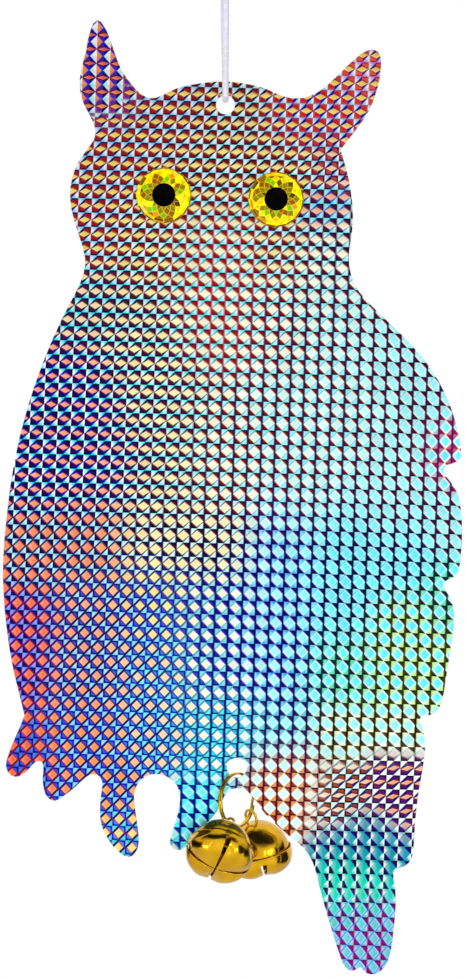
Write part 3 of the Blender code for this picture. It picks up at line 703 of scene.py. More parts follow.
# %% Moods of the film
FILM_MOODS = {
    "peach ear": ("ear", CORAL, MAROON, COBALT, ORANGE, ROYAL, WHITE, WHITE, MAROON),
    "coral ear": ("ear", CORAL, MAROON, COBALT, ORANGE, NAVY, WHITE, FROST, MAROON),
    "lemon head": ("flat", YELLOW, RUST, BRICK, INK, NAVY, WHITE, SKY, ROSE),
    "straw face": ("flat", LEMON, OCHRE, MAROON, INK, INK, WHITE, FROST, ROSE),
    "salmon cheek": ("breast", SALMON, PURPLE, PLUM, INK, BLUE, FROST, CYAN, MAROON),
    "red ear": ("leaf", YELLOW, CRIMSON, RED, ROSE, ROYAL, WHITE, SKY, WHITE),
    "lilac ear": ("flat", YELLOW, CRIMSON, CORAL, CRIMSON, PURPLE, WHITE, LILAC, WHITE),
    "rose cheek": ("leaf", PEACH, CRIMSON, ROSE, WINE, NAVY, WHITE, SKY, PLUM),
    "cream jaw": ("throat", CREAM, OCHRE, PLUM, INK, SEA, WHITE, FROST, INK),
    "cream throat": ("throat", CREAM, OCHRE, BRICK, WINE, SEA, WHITE, CYAN, CRIMSON),
    "peach shoulder": ("breast", PEACH, BROWN, PLUM, INK, INK, ICE, AQUA, INK),
    "straw breast": ("breast", STRAW, OCHRE, PLUM, INK, INK, WHITE, CYAN, INK),
    "salmon wing": ("wing", SALMON, CRIMSON, NAVY, INK, ROYAL, WHITE, AQUA, INK),
    "cream belly": ("belly", CREAM, ORANGE, MAROON, INK, TEAL, ICE, FROST, PLUM),
    "ice breast": ("hexagon", ICE, PEACH, MAROON, INK, SEA, FROST, FROST, PLUM),
    "frost wing": ("wide hexagon", FROST, CREAM, WINE, BLACK, SEA, ICE, FROST, PLUM),
    "magenta rim": ("rim", CYAN, WHITE, MAGENTA, CRIMSON, WHITE, MAGENTA, ROSE, PURPLE),
    "salmon flank": ("flank", TERRA, RUST, NAVY, INK, NAVY, ICE, SKY, INK),
    "straw navel": ("belly", STRAW, OCHRE, INK, INK, INK, WHITE, ICE, INK),
    "violet hip": ("square", EMBER, RED, NAVY, NAVY, PURPLE, LILAC, AZURE, NAVY),
    "blue hip": ("square", SALMON, WINE, BLUE, NAVY, NAVY, ICE, SKY, NAVY),
    "lemon low": ("square", LEMON, PURPLE, BLUE, ROYAL, NAVY, FROST, SKY, NAVY),
    "lilac belly": ("soft square", CREAM, VIOLET, ROYAL, NAVY, SEA, FROST, SKY, NAVY),
    "ice navy": ("hexagon", FROST, LILAC, NAVY, NAVY, CYAN, FROST, AZURE, NAVY),
    "cyan side": ("wide hexagon", CYAN, FROST, NAVY, INK, AZURE, CYAN, FROST, INK),
    "mint side": ("wide hexagon", CYAN, WHITE, FOREST, INK, FROST, MINT, MINT, FOREST),
    "lime edge": ("wide hexagon", CYAN, WHITE, MOSS, BLACK, ICE, LIME, LIME, MOSS),
    "peach low": ("square", PEACH, NAVY, AZURE, ROYAL, NAVY, FROST, CYAN, ROYAL),
    "ember foot": ("square", EMBER, RED, BLUE, NAVY, MAROON, AZURE, BLUE, NAVY),
    "lemon toe": ("square", LEMON, ROSE, AZURE, ROYAL, NAVY, SKY, GREEN, ROYAL),
    "cyan foot": ("soft square", CYAN, FROST, ROYAL, NAVY, CYAN, AQUA, CYAN, NAVY),
    "orange foot": ("square", ORANGE, WINE, BLUE, ROYAL, NAVY, FROST, SKY, ROYAL),
    "sea foot": ("soft square", CREAM, AZURE, AQUA, NAVY, TEAL, CYAN, CYAN, NAVY),
    "ice diamond": ("hexagon", FROST, CYAN, NAVY, PLUM, FROST, SEA, SEA, NAVY),
    "brown thigh": ("wide hexagon", FROST, CREAM, BROWN, MOSS, ICE, LIME, CREAM, BLACK),
    "rust bells": ("hexagon", ICE, CREAM, RUST, WINE, CREAM, ORANGE, OCHRE, WINE),
    "leaf root": ("root", PEACH, MAROON, RUST, BLACK, NAVY, PEARL, ICE, BLACK),
    "violet root": ("root", SALMON, MAROON, PURPLE, INK, NAVY, WHITE, WHITE, BLACK),
    "teal tail": ("tail", TEAL, ROYAL, NAVY, INK, TEAL, PEARL, TEAL, INK),
    "green tail": ("tall tail", GREEN, GREEN, NAVY, INK, GREEN, PEARL, GREEN, PEARL),
    "cyan tail": ("slant tail", GREEN, AZURE, PURPLE, INK, AZURE, PEARL, SEA, PURPLE),
    "purple tail": ("slant tail", SEA, BLUE, MAGENTA, PURPLE, AZURE, LAVENDER, SEA, MAGENTA),
}
FACETS = ("diamond", "edge", "rising_leaf", "rising_border", "wedge", "falling_side", "falling_top",
          "column")
print(len(FILM_MOODS), "moods of", len(FACETS), "facets")

# %% [markdown]
# Where each mood shows, as a walk over the owl: the mood, the pixel of its middle and its reach
# in pixels.

# %% Places of the moods
FILM_PLACES = [
    ("peach ear", 99, 50, 26), ("coral ear", 98, 92, 26), ("lemon head", 104, 140, 28),
    ("lemon head", 92, 190, 30), ("lemon head", 90, 235, 28), ("lemon head", 170, 115, 38),
    ("straw face", 240, 130, 40), ("straw face", 216, 185, 46), ("straw face", 150, 245, 36),
    ("cream throat", 220, 245, 38), ("red ear", 290, 115, 26), ("red ear", 338, 108, 28),
    ("lilac ear", 369, 70, 24), ("rose cheek", 332, 155, 20), ("straw face", 285, 175, 26),
    ("salmon cheek", 320, 213, 18), ("cream jaw", 322, 255, 30), ("straw face", 275, 245, 28),
    ("peach shoulder", 92, 300, 32), ("straw breast", 150, 335, 38), ("cream throat", 216, 320, 36),
    ("cream belly", 275, 320, 34), ("ice breast", 335, 320, 34), ("frost wing", 390, 345, 30),
    ("salmon wing", 75, 395, 34), ("salmon wing", 42, 470, 34), ("salmon wing", 100, 465, 36),
    ("straw breast", 165, 415, 36), ("cream belly", 222, 425, 36), ("ice breast", 282, 420, 36),
    ("ice breast", 340, 420, 36), ("frost wing", 400, 430, 34), ("magenta rim", 450, 450, 22),
    ("straw breast", 160, 480, 34), ("cream belly", 222, 485, 34), ("ice breast", 300, 490, 36),
    ("frost wing", 390, 500, 34), ("frost wing", 447, 535, 18), ("salmon flank", 28, 545, 32),
    ("salmon flank", 92, 540, 34), ("straw navel", 160, 540, 36), ("straw navel", 216, 540, 34),
    ("ice navy", 280, 545, 34), ("cyan side", 345, 545, 38), ("cyan side", 405, 555, 34),
    ("violet hip", 24, 622, 30), ("blue hip", 92, 612, 34), ("lemon low", 154, 608, 34),
    ("lilac belly", 216, 608, 34), ("ice navy", 278, 610, 34), ("cyan side", 340, 606, 32),
    ("lime edge", 402, 625, 28), ("mint side", 445, 590, 26), ("violet hip", 26, 680, 26),
    ("blue hip", 90, 675, 34), ("peach low", 154, 672, 34), ("lilac belly", 216, 672, 34),
    ("ice navy", 278, 668, 32), ("mint side", 338, 668, 30), ("lime edge", 405, 672, 34),
    ("ember foot", 20, 745, 28), ("orange foot", 90, 735, 34), ("peach low", 154, 735, 32),
    ("sea foot", 216, 732, 30), ("ice diamond", 278, 732, 28), ("brown thigh", 340, 732, 21),
    ("brown thigh", 405, 724, 21), ("rust bells", 285, 775, 26), ("leaf root", 340, 790, 22),
    ("violet root", 400, 786, 24), ("orange foot", 115, 790, 28), ("cyan foot", 192, 805, 24),
    ("lemon toe", 128, 832, 26), ("teal tail", 365, 842, 24), ("green tail", 356, 878, 18),
    ("cyan tail", 358, 905, 16), ("purple tail", 362, 935, 18), ("purple tail", 370, 958, 24),
]
print(len(FILM_PLACES), "places on the owl")

# %% [markdown]
# The CAD film is one flat face on each side, so it has no points between its edges that could hold
# a colour. Its mesh is therefore copied and cut along a square net of a few millimetres. Every
# point of the net then keeps the blend of the moods around it, and the renderer fills in between.

# %% Slow colours on the film
FILM_NET = 4.5 * MM
LEAST_WEIGHT = 1e-9


def slow_fields(points):
    """Every place's mood, blended by how near it is: weight = exp(-(distance / reach)^2)."""
    names = list(FILM_MOODS)
    weights = np.full((len(names), len(points)), LEAST_WEIGHT)
    for mood, px, py, reach in FILM_PLACES:
        distance = np.hypot(points[:, 0] - across(px), points[:, 2] - up(py))
        weights[names.index(mood)] += np.exp(-(distance / (reach * PIXEL)) ** 2)
    weights /= weights.sum(0)
    colors = np.array([mood[1:] for mood in FILM_MOODS.values()])
    shapes = np.array([FILM_CUTS[mood[0]] for mood in FILM_MOODS.values()])
    return np.einsum("mp,mfc->pfc", weights, colors), np.einsum("mp,ms->ps", weights, shapes)


def film_piece(name, node):
    """The CAD film, cut along a square net so that the slow colours have points to sit on."""
    shape = bmesh.new()
    shape.from_mesh(nodes[node].data)
    bmesh.ops.remove_doubles(shape, verts=shape.verts, dist=WELD)
    low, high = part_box(node)
    for axis, start, stop in ((0, low.x, high.x), (2, low.z, high.z)):
        normal = Vector((axis == 0, 0, axis == 2))
        for level in np.arange(start + FILM_NET, stop, FILM_NET):
            geometry = shape.verts[:] + shape.edges[:] + shape.faces[:]
            bmesh.ops.bisect_plane(shape, geom=geometry, plane_co=normal * float(level),
                                   plane_no=normal, dist=WELD)
    mesh = bpy.data.meshes.new(name)
    shape.to_mesh(mesh)
    shape.free()
    obj = bpy.data.objects.new(name, mesh)
    bpy.context.scene.collection.objects.link(obj)
    points = np.empty(len(mesh.vertices) * 3, np.float32)
    mesh.vertices.foreach_get("co", points)
    colors, shapes = slow_fields(points.reshape(-1, 3))
    for index, facet in enumerate(FACETS):
        layer = mesh.attributes.new(facet, "FLOAT_COLOR", "POINT")
        layer.data.foreach_set("color", colors[:, index].astype(np.float32).ravel())
    for index, shape_name in enumerate(SHAPES):
        keep_coordinate(obj, shape_name, shapes[:, index])
    return obj


print(f"the film's net is {FILM_NET / MM:.1f} mm wide")

# %% [markdown]
# The lattice was read on the photograph: one diamond's middle, the size of a cell, and how far
# the columns and rows lean. Rounding the place in cells to the nearest whole numbers gives the
# cell, and what is left over is the place inside it: u runs to the right and v runs down, both
# from -0.5 to 0.5. No two cells of real film are pressed quite alike, so each gets its own grey.

# %% The place in a cell
LATTICE_PIXEL = (156.5, 107.5)
CELL_PIXELS = (13.63, 14.24)
COLUMN_LEAN = math.tan(math.radians(1.9))
ROW_LEAN = math.tan(math.radians(1.3))
LEAST_GREY = 0.93
GREY_RANGE = 0.16


def cell_place(wire):
    """Column and row numbers of the cell, and the place u, v in it, from -0.5 to 0.5."""
    place = wire.node("ShaderNodeTexCoord", output=3)
    split = wire.node("ShaderNodeSeparateXYZ", None, {0: place}).socket.node.outputs
    right = (Wire(wire.tree, split[0]) - across(LATTICE_PIXEL[0])) / PIXEL
    down = (up(LATTICE_PIXEL[1]) - Wire(wire.tree, split[2])) / PIXEL
    column = (right + down * COLUMN_LEAN) / CELL_PIXELS[0]
    row = (down - right * ROW_LEAN) / CELL_PIXELS[1]
    column_number, row_number = column.math("ROUND", column), row.math("ROUND", row)
    return column_number, row_number, column - column_number, row - row_number


def cell_grey(wire, column_number, row_number):
    """A grey that differs a little from cell to cell."""
    number = wire.node("ShaderNodeCombineXYZ", None, {0: column_number, 1: row_number})
    chance = wire.node("ShaderNodeTexWhiteNoise", {"noise_dimensions": "2D"}, {"Vector": number})
    grey = chance * GREY_RANGE + LEAST_GREY
    return wire.node("ShaderNodeCombineColor", None, {0: grey, 1: grey, 2: grey})


print(f"cells of {CELL_PIXELS[0] * PIXEL / MM:.2f} by {CELL_PIXELS[1] * PIXEL / MM:.2f} mm")

# %% [markdown]
# The facets are simple tests on u and v. The diamond is |u| / width + |v| / height < 1, and the
# sign of u times v tells the corners on the falling diagonal from those on the rising one. Every
# test is a soft step, about as wide as a pixel, since a hard one would flicker with moire. A
# shallow pyramid in each cell tips the mirror, so that the film glitters when the owl turns.

# %% Laser film
EDGE_SOFTNESS = 0.07
PARTING_SOFTNESS = 0.012
PARTING_HEIGHT = 0.3
BORDER_EDGE = 0.39
COLUMN_EDGE = 0.42
FACET_DEPTH = 0.4 * MM


def film_material():
    """Laser film: facet colours on a mirror, with each facet's surface tipped its own way."""
    material, wire, shader = new_material("laser_film", Metallic=0.95, Roughness=0.28)
    column_number, row_number, u, v = cell_place(wire)
    color_of = {facet: stored_color(wire, facet) for facet in FACETS}
    shape_of = {shape: stored_number(wire, shape) for shape in SHAPES}
    far_u, far_v = abs(u), abs(v)
    outward = far_u + far_v
    tipped_v = v + u * shape_of["slant"]
    reach = far_u / shape_of["diamond_width"] + abs(tipped_v) / shape_of["diamond_height"]
    diamond = (1 - reach).above(0, EDGE_SOFTNESS * 2.2)
    # corners on the rising diagonal, or the left half where the cut is sided
    parted_by = v + (PARTING_HEIGHT - v) * shape_of["sided"]
    rising = (-1.0 * (u * parted_by)).above(0, PARTING_SOFTNESS)

    # the rising corner: an edge beside the diamond, then a leaf, and a dark border round both
    border = far_u.math("MAXIMUM", far_u, far_v).above(BORDER_EDGE, EDGE_SOFTNESS)
    border = border * (1 - shape_of["sided"])
    past_leaf = outward.above(shape_of["leaf_reach"], EDGE_SOFTNESS)
    border = border.math("MAXIMUM", border, past_leaf)
    rising_color = color_of["rising_leaf"].mixed(color_of["rising_border"], border)
    beside_diamond = (shape_of["edge_reach"] - reach).above(0, 0.2)
    rising_color = rising_color.mixed(color_of["edge"], beside_diamond)

    # the falling corner: its side fades into its top, and a wedge parts it from the diamond
    falling_color = color_of["falling_top"].mixed(color_of["falling_side"],
                                                  (far_u - far_v).above(0, 0.45))
    past_wedge = outward.above(shape_of["wedge_reach"], EDGE_SOFTNESS)
    falling_color = color_of["wedge"].mixed(falling_color, past_wedge)

    color = falling_color.mixed(rising_color, rising)
    column_strip = far_u.above(COLUMN_EDGE, EDGE_SOFTNESS) * shape_of["column_share"]
    color = color.mixed(color_of["column"], column_strip)

    # the diamond: paler at its left end, and at its rim where the columns show
    pale_end = (0.12 - u).above(0.35, 0.5) * 0.35
    pale_rim = reach.above(0.85, 0.3) * shape_of["column_share"] * 0.6
    paleness = pale_end.math("MAXIMUM", pale_end, pale_rim)
    color = color.mixed(color_of["diamond"].mixed(WHITE, paleness), diamond)

    shaded = wire.node("ShaderNodeMix", {"data_type": "RGBA", "blend_type": "MULTIPLY"},
                       {0: 1.0, 6: color, 7: cell_grey(wire, column_number, row_number)}, 2)
    feed(shaded, shader, "Base Color")
    pyramid = (1 - outward) * 0.5 + diamond * 0.2
    feed(ridges(pyramid, FACET_DEPTH, 0.35), shader, "Normal")
    return material


laser_film = film_material()
for film_name, film_node in (("front_laser_film", "front_film"), ("rear_laser_film", "rear_film")):
    film = dress(film_piece(film_name, film_node), laser_film, "owl", [film_node])
    print(film_name, len(film.data.polygons), "faces")

# %% [markdown]
# ## The white core
#
# Seen from the front only its cut edge shows: a white line round the owl, a little milky, with
# fine marks where the cutter ran.

# %% Core of the board
def core_material():
    """White plastic that lets a little light in, with the drag marks of the cutter."""
    material, wire, shader = new_material("white_core", Roughness=0.5, Subsurface_Weight=0.1)
    drag = grain(wire, 900.0, 2.0)
    white = paint(wire, tint(242, 243, 246))
    feed(white.mixed(tint(214, 218, 226), drag.above(0.5, 0.5) * 0.5), shader, "Base Color")
    feed(ridges(drag, 0.06 * MM, 0.5), shader, "Normal")
    return material


finish_nodes(["core_board"], core_material())
print("core board:", len(nodes["core_board"].data.polygons), "faces")

# %% [markdown]
# ## Gold plate
#
# The ring and the bells are steel under bright gold plate with a clear lacquer. A metal's colour
# is its reflections, so the material is smooth, with only faint waves where the sheet was
# pressed.

# %% Gold materials
def gold_material(name, color, shade, roughness, wave_scale, wave_depth):
    """Plate: a gold that darkens in slow patches, with pressed waves in its surface."""
    material, wire, shader = new_material(name, Metallic=1.0, Roughness=roughness,
                                          Coat_Weight=0.2, Coat_Roughness=0.1)
    patch = grain(wire, 120.0, 2.0)
    plate = paint(wire, color).mixed(shade, patch.above(0.52, 0.3) * 0.5)
    feed(plate, shader, "Base Color")
    feed(ridges(grain(wire, wave_scale, 1.0), wave_depth, 0.6), shader, "Normal")
    return material


bell_gold = gold_material("bell_gold", tint(230, 178, 16), tint(190, 132, 6), 0.15,
                          wave_scale=130.0, wave_depth=2.2 * MM)
wire_gold = gold_material("wire_gold", tint(244, 204, 40), tint(190, 136, 10), 0.2,
                          wave_scale=700.0, wave_depth=0.1 * MM)
print("gold for the bells and for the wire")

# %% [markdown]
# What makes gold look like metal is the room. Dark cloths hang round the front, above the camera
# and at both sides, as a product photographer would hang them, and only reflections can see them.
# Their edges fade out, which gives the soft brown bands across the bells.

# %% Dark cloths for reflections
CLOTH_RADIUS = 0.9
CLOTH_ROWS, CLOTH_COLUMNS = 13, 41
DARK_CLOTHS = {
    # name: degrees to the right of the camera, from and to, then degrees up, from and to
    "dark_band": ((-100, 100), (22, 80)),
    "dark_left": ((-125, -52), (-30, 30)),
    "dark_right": ((62, 125), (-35, 25)),
}


def staged_for_gloss(obj):
    obj.visible_camera = obj.visible_diffuse = obj.visible_shadow = obj.visible_transmission = False


def make_dark_cloth(name, sides, lifts):
    """Part of a sphere round the bells.

    Each point is the radius times (cosine of lift x sine of side, minus cosine of lift x cosine
    of side, sine of lift).
    """
    side, lift = np.meshgrid(np.radians(np.linspace(*sides, CLOTH_COLUMNS)),
                             np.radians(np.linspace(*lifts, CLOTH_ROWS)))
    center = np.array(joints["ring_turn"]["pos_m"])
    points = np.stack([np.cos(lift) * np.sin(side), -np.cos(lift) * np.cos(side), np.sin(lift)], -1)
    faces = grid_faces(CLOTH_ROWS, CLOTH_COLUMNS, close_columns=False)
    cloth = add_mesh(name, center + CLOTH_RADIUS * points, faces)
    a, b = np.meshgrid(np.linspace(-1, 1, CLOTH_COLUMNS), np.linspace(-1, 1, CLOTH_ROWS))
    keep_coordinate(cloth, "middle", 1 - np.maximum(np.abs(a) ** 3, np.abs(b)))
    material, wire, shader = new_material(name + "_felt", Roughness=1.0)
    felt = paint(wire, WHITE).mixed(tint(22, 14, 8), stored_number(wire, "middle").above(0.3, 0.4))
    feed(felt, shader, "Base Color")
    cloth.data.materials.append(material)
    staged_for_gloss(cloth)


for cloth_name, cloth_facts in DARK_CLOTHS.items():
    make_dark_cloth(cloth_name, *cloth_facts)
print(len(DARK_CLOTHS), "dark cloths")

# %% [markdown]
# Glowing cards do the opposite: they give the bright streaks beside the slits and on top. The two
# that stand near the camera are narrow and dim, because the flat film mirrors some of them too.

# %% Glowing cards for reflections
CARD_POINTS = 13
GLOW_CARDS = {
    # name: direction from the bells, half width and half height in metres, glow
    "glow_left": ((-0.70, -0.70, -0.25), (0.20, 0.26), 10.0),
    "glow_front_left": ((-0.37, -0.92, -0.15), (0.05, 0.26), 5.0),
    "glow_front_right": ((0.37, -0.92, -0.10), (0.06, 0.28), 7.0),
    "glow_right": ((0.66, -0.72, -0.05), (0.12, 0.20), 10.0),
    "glow_top": ((0.48, -0.10, 0.88), (0.20, 0.20), 10.0),
}


def make_glow_card(name, direction, half, glow):
    """A grid that faces the bells, whose glow is 1 - (distance from its middle)^2."""
    center = np.array(joints["ring_turn"]["pos_m"])
    towards = np.array(direction) / np.linalg.norm(direction)
    side = np.cross(towards, (0, 0, 1))
    side /= np.linalg.norm(side)
    a, b = np.meshgrid(np.linspace(-1, 1, CARD_POINTS), np.linspace(-1, 1, CARD_POINTS))
    points = (center + towards + half[0] * a[..., None] * side
              + half[1] * b[..., None] * np.cross(side, towards))
    card = add_mesh(name, points, grid_faces(CARD_POINTS, CARD_POINTS, close_columns=False))
    keep_coordinate(card, "glow", np.clip(1 - a * a - b * b, 0, 1))
    material, wire, shader = new_material(name + "_light", Roughness=1.0, Emission_Strength=glow)
    shader.inputs["Base Color"].default_value = (0, 0, 0, 1)
    share = stored_number(wire, "glow")
    feed(share.math("MAXIMUM", share, 1 / glow), shader, "Emission Color")
    card.data.materials.append(material)
    staged_for_gloss(card)


for card_name, card_facts in GLOW_CARDS.items():
    make_glow_card(card_name, *card_facts)
print(len(GLOW_CARDS), "glowing cards")

# %% [markdown]
# ## The split ring
#
# Flat wire wound twice, turn against turn. The path is a circle whose height stays level for most
# of each turn and climbs one wire's width in a short arc, which leaves a gap between the two ends,
# where a real ring is pried open. A rounded flat section is carried along it.

# %% Split ring
RING_OUTER = 21.6 * MM
RING_RADIAL = 0.9 * MM
RING_AXIAL = 0.75 * MM
RING_TURN_GAP = 0.1 * MM
RING_START = math.radians(22)
RING_CLIMB = math.radians(36)
RING_ROWS, RING_SIDES = 220, 20
RING_SQUARENESS = 0.45
RING_CREASE = math.radians(60)
ring_joint = joints["ring_turn"]
ring_center = np.array(ring_joint["pos_m"])
ring_axis = np.array(ring_joint["axis"]) / np.linalg.norm(ring_joint["axis"])
ring_across = np.cross((0, 0, 1), ring_axis)


def make_ring():
    """Each point: centre + middle radius x (cosine across + sine up) + height along the axis.

    The section is a rounded flat: cosine and sine of the angle, both to the power of 0.45.
    """
    full = 2 * math.pi
    wound = np.linspace(0, 2 * full - RING_CLIMB, RING_ROWS)
    turn, rest = np.divmod(wound + RING_CLIMB, full)
    climb = np.minimum(1, rest / RING_CLIMB)
    height = (RING_AXIAL + RING_TURN_GAP) * (turn - 2 + climb * climb * (3 - 2 * climb))
    angle = RING_START + wound
    outward = np.cos(angle)[:, None] * ring_across + np.sin(angle)[:, None] * np.array((0, 0, 1))
    around = np.linspace(0, full, RING_SIDES, endpoint=False)
    cosine, sine = np.cos(around), np.sin(around)
    flat = np.abs(cosine) ** RING_SQUARENESS * np.sign(cosine) * RING_RADIAL / 2
    thick = np.abs(sine) ** RING_SQUARENESS * np.sign(sine) * RING_AXIAL / 2
    middle = RING_OUTER / 2 - RING_RADIAL / 2
    points = (ring_center + outward[:, None] * (middle + flat)[None, :, None]
              + ring_axis * (height[:, None] + thick[None])[..., None])
    ring = add_mesh("gold_split_ring", points, grid_faces(RING_ROWS, RING_SIDES))
    cap_ends(ring, RING_ROWS, RING_SIDES)
    face_outwards(ring)
    ring.data.shade_smooth()
    ring.data.set_sharp_from_angle(angle=RING_CREASE)
    return dress(ring, wire_gold, "ring", ["split_ring"])


print("split ring:", len(make_ring().data.polygons), "faces")

# %% [markdown]
# ## The bells
#
# A jingle bell is two pressed cups. The upper one is a dome with the wire bail let into its top.
# The lower one telescopes over the dome's skirt, and its side is cut into four petals that are
# folded in towards the pole, so it has a cross of slits, narrow at the pole and wide at their
# outer ends. Both are grids about the bell's own axis: rows go down the side, columns go round.
#
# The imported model's joints say where each bell hangs and how it leans, so a bell is worked out
# upright, about its own middle, and then set into the frame along those directions.

# %% The bell's own frame
BELL_RADIUS = 12.2 * MM
BELL_SKIRT = 1.2 * MM
BELL_SHEET = 0.5 * MM
LIP_BAND = 2.6 * MM
CUP_DEPTH = 9.5 * MM
SLIT_BELOW_LIP = 2.4 * MM
SLIT_POLE_WIDTH = 0.6 * MM
SLIT_END_WIDTH = 2.6 * MM
BAIL_WIRE = 1.1 * MM
LIP_RADIUS = BELL_RADIUS + SEAT_GAP + BELL_SHEET


def bell_axes(side):
    """Centre, eye, side and up directions of a bell, from its two joints in the frame."""
    roll, swing = joints[f"{side}_pellet_roll"], joints[f"{side}_bell_swing"]
    axis_up = np.array(roll["axis"]) / np.linalg.norm(roll["axis"])
    eye = np.array(swing["axis"]) - axis_up * np.dot(swing["axis"], axis_up)
    eye /= np.linalg.norm(eye)
    return np.array(roll["pos_m"]), eye, np.cross(axis_up, eye), axis_up


def set_in(bell, local):
    """World points = centre + x eye + y side + z up."""
    center, eye, side, axis_up = bell
    return center + local[..., :1] * eye + local[..., 1:2] * side + local[..., 2:] * axis_up


def turned_grid(radius, height, columns):
    """Local points of a profile turned round the axis."""
    angle = np.linspace(0, 2 * math.pi, columns, endpoint=False)
    ring = np.stack([np.cos(angle), np.sin(angle)], -1)
    flat = radius[:, None, None] * ring[None]
    return np.concatenate([flat, np.broadcast_to(height[:, None, None], flat.shape[:2] + (1,))], -1)


print(f"bells of {2 * BELL_RADIUS / MM:.1f} mm, {2 * LIP_RADIUS / MM:.1f} mm over the lip")

# %% [markdown]
# The dome is half a ball of thin sheet that runs on as a short skirt. Its profile goes over the
# outside, round the skirt's edge and back up the inside, so the sheet has its real thickness where
# the slits let one look in.

# %% Dome
DOME_ROWS, DOME_COLUMNS = 30, 96
DOME_TOP = 0.02  # radians from the axis: a pinhole instead of faces that shrink to a point
DOME_CREASE = math.radians(50)
SKIRT_SHARES = (-0.4, -0.85, -1.0)


def make_dome(side, bell):
    """Outer and inner quarter circles joined at the skirt: radius x sine, radius x cosine."""
    angle = np.linspace(DOME_TOP, math.pi / 2, DOME_ROWS)
    skirt = np.array(SKIRT_SHARES) * BELL_SKIRT
    outer_r = np.concatenate([BELL_RADIUS * np.sin(angle), np.full(len(skirt), BELL_RADIUS)])
    outer_z = np.concatenate([BELL_RADIUS * np.cos(angle), skirt])
    inner = BELL_RADIUS - BELL_SHEET
    radius = np.concatenate([outer_r, inner * np.sin(angle)[::-1]])
    height = np.concatenate([outer_z, inner * np.cos(angle)[::-1]])
    local = turned_grid(radius, height, DOME_COLUMNS)
    faces = grid_faces(len(radius), DOME_COLUMNS, close_rows=True)
    dome = add_mesh(f"{side}_gold_dome", set_in(bell, local), faces)
    face_outwards(dome)
    dome.data.shade_smooth()
    dome.data.set_sharp_from_angle(angle=DOME_CREASE)
    return dress(dome, bell_gold, f"{side}_bell", [f"{side}_bell_dome"])


print("dome of", DOME_COLUMNS, "columns")

# %% [markdown]
# The cup starts with a small bead at its lip, which stands out over the dome. Below it runs a
# straight band, and then a bowl that is flatter than half a ball.

# %% Profile of the cup
LIP_BEAD = [(0.12 * MM, 0.05 * MM), (0.16 * MM, -0.2 * MM), (0.02 * MM, -0.5 * MM),
            (0, -LIP_BAND * 0.6)]
CUP_PROFILE_SHARES = [(1, 0), (0.97, 0.24), (0.87, 0.52), (0.67, 0.78), (0.36, 0.96), (0.03, 1)]


def cup_rows():
    """Radius and height of the cup's rows, from the bead at its lip to the pole.

    One more row stands just above the slit's start, so that the slit ends square.
    """
    band = [(LIP_RADIUS + outwards, height) for outwards, height in LIP_BEAD]
    side = [(radial * LIP_RADIUS, -LIP_BAND - down * (CUP_DEPTH - LIP_BAND))
            for radial, down in CUP_PROFILE_SHARES]
    path = even_path([(r, 0, z) for r, z in band + side], spacing=0.3 * MM)
    start = np.searchsorted(-path[:, 2], SLIT_BELOW_LIP)
    above = path[start - 1] + (path[start] - path[start - 1]) * 0.9
    return np.insert(path, start, above, axis=0), start


rows_of_cup, slit_start = cup_rows()
print("cup of", len(rows_of_cup), "rows, slits from row", slit_start)

# %% [markdown]
# The cup's four petals are one grid each. Down to the slit's start, neighbouring petals share
# their edge. Below it, a petal's edge steps back by half the slit's width, turned into an angle
# at that radius. The middle of a petal bulges out a little and its edges dip in at the slits, as
# bent sheet does, but not so far that the pellet inside could touch them. Solidify then gives the
# sheet its thickness. Cutting the slits with a Boolean would leave ragged faces along them.

# %% Petals of the cup
SLIT_DIP = 0.4 * MM
SLIT_DIP_REACH = 3.0 * MM
PETAL_BULGE = 0.5 * MM
POLE_RADIUS = 2.5 * MM
SLIT_TURN = {"left": 48, "right": 45}  # degrees about the bell's axis
PETAL_COLUMNS = 31
PETAL_WELD = 2e-6


def make_cup(side, bell):
    """Each point: the profile, moved by a lift along its outward normal (-slope z, slope r)."""
    rows, start = cup_rows()
    radius, height = rows[:, :1], rows[:, 2:]
    slope = np.gradient(rows, axis=0)
    slope /= np.linalg.norm(slope, axis=1, keepdims=True)
    run = path_length(rows)[:, None]
    share = np.clip((run - run[start]) / (run[-1] - run[start]), 0, 1)
    width = np.where(np.arange(len(rows))[:, None] > start,
                     SLIT_END_WIDTH + (SLIT_POLE_WIDTH - SLIT_END_WIDTH) * share ** 0.8, 0)
    half = np.arcsin(np.clip(width / 2 / radius, 0, math.sin(math.pi / 4)))
    across_petal = np.sin(np.linspace(-1, 1, PETAL_COLUMNS) * math.pi / 2)[None]
    one_petal = grid_faces(len(rows), PETAL_COLUMNS, close_columns=False)
    faces, points = [], []
    for petal in range(4):
        middle = math.radians(SLIT_TURN[side]) + math.pi / 4 + petal * math.pi / 2
        angle = middle + across_petal * (math.pi / 4 - half)
        to_slit = radius * (1 - np.abs(across_petal)) * math.pi / 4
        fade = np.clip(share * 3, 0, 1) * np.clip((radius - POLE_RADIUS) / POLE_RADIUS, 0, 1)
        near = np.exp(-(to_slit / SLIT_DIP_REACH) ** 2)
        lift = (PETAL_BULGE - (PETAL_BULGE + SLIT_DIP) * near) * fade
        r = radius - lift * slope[:, 2:]
        z = height + lift * slope[:, :1]
        local = np.stack([r * np.cos(angle), r * np.sin(angle), np.broadcast_to(z, r.shape)], -1)
        faces.append(one_petal + petal * len(rows) * PETAL_COLUMNS)
        points.append(local.reshape(-1, 3))
    cup = add_mesh(f"{side}_gold_cup", set_in(bell, np.concatenate(points)), np.concatenate(faces))
    face_outwards(cup, PETAL_WELD)
    turn_out(cup, bell[0])
    wall = cup.modifiers.new("sheet", "SOLIDIFY")
    wall.thickness, wall.offset, wall.use_even_offset = BELL_SHEET, -1, True
    cup.data.shade_smooth()
    return dress(cup, bell_gold, f"{side}_bell", [f"{side}_bell_cup"])


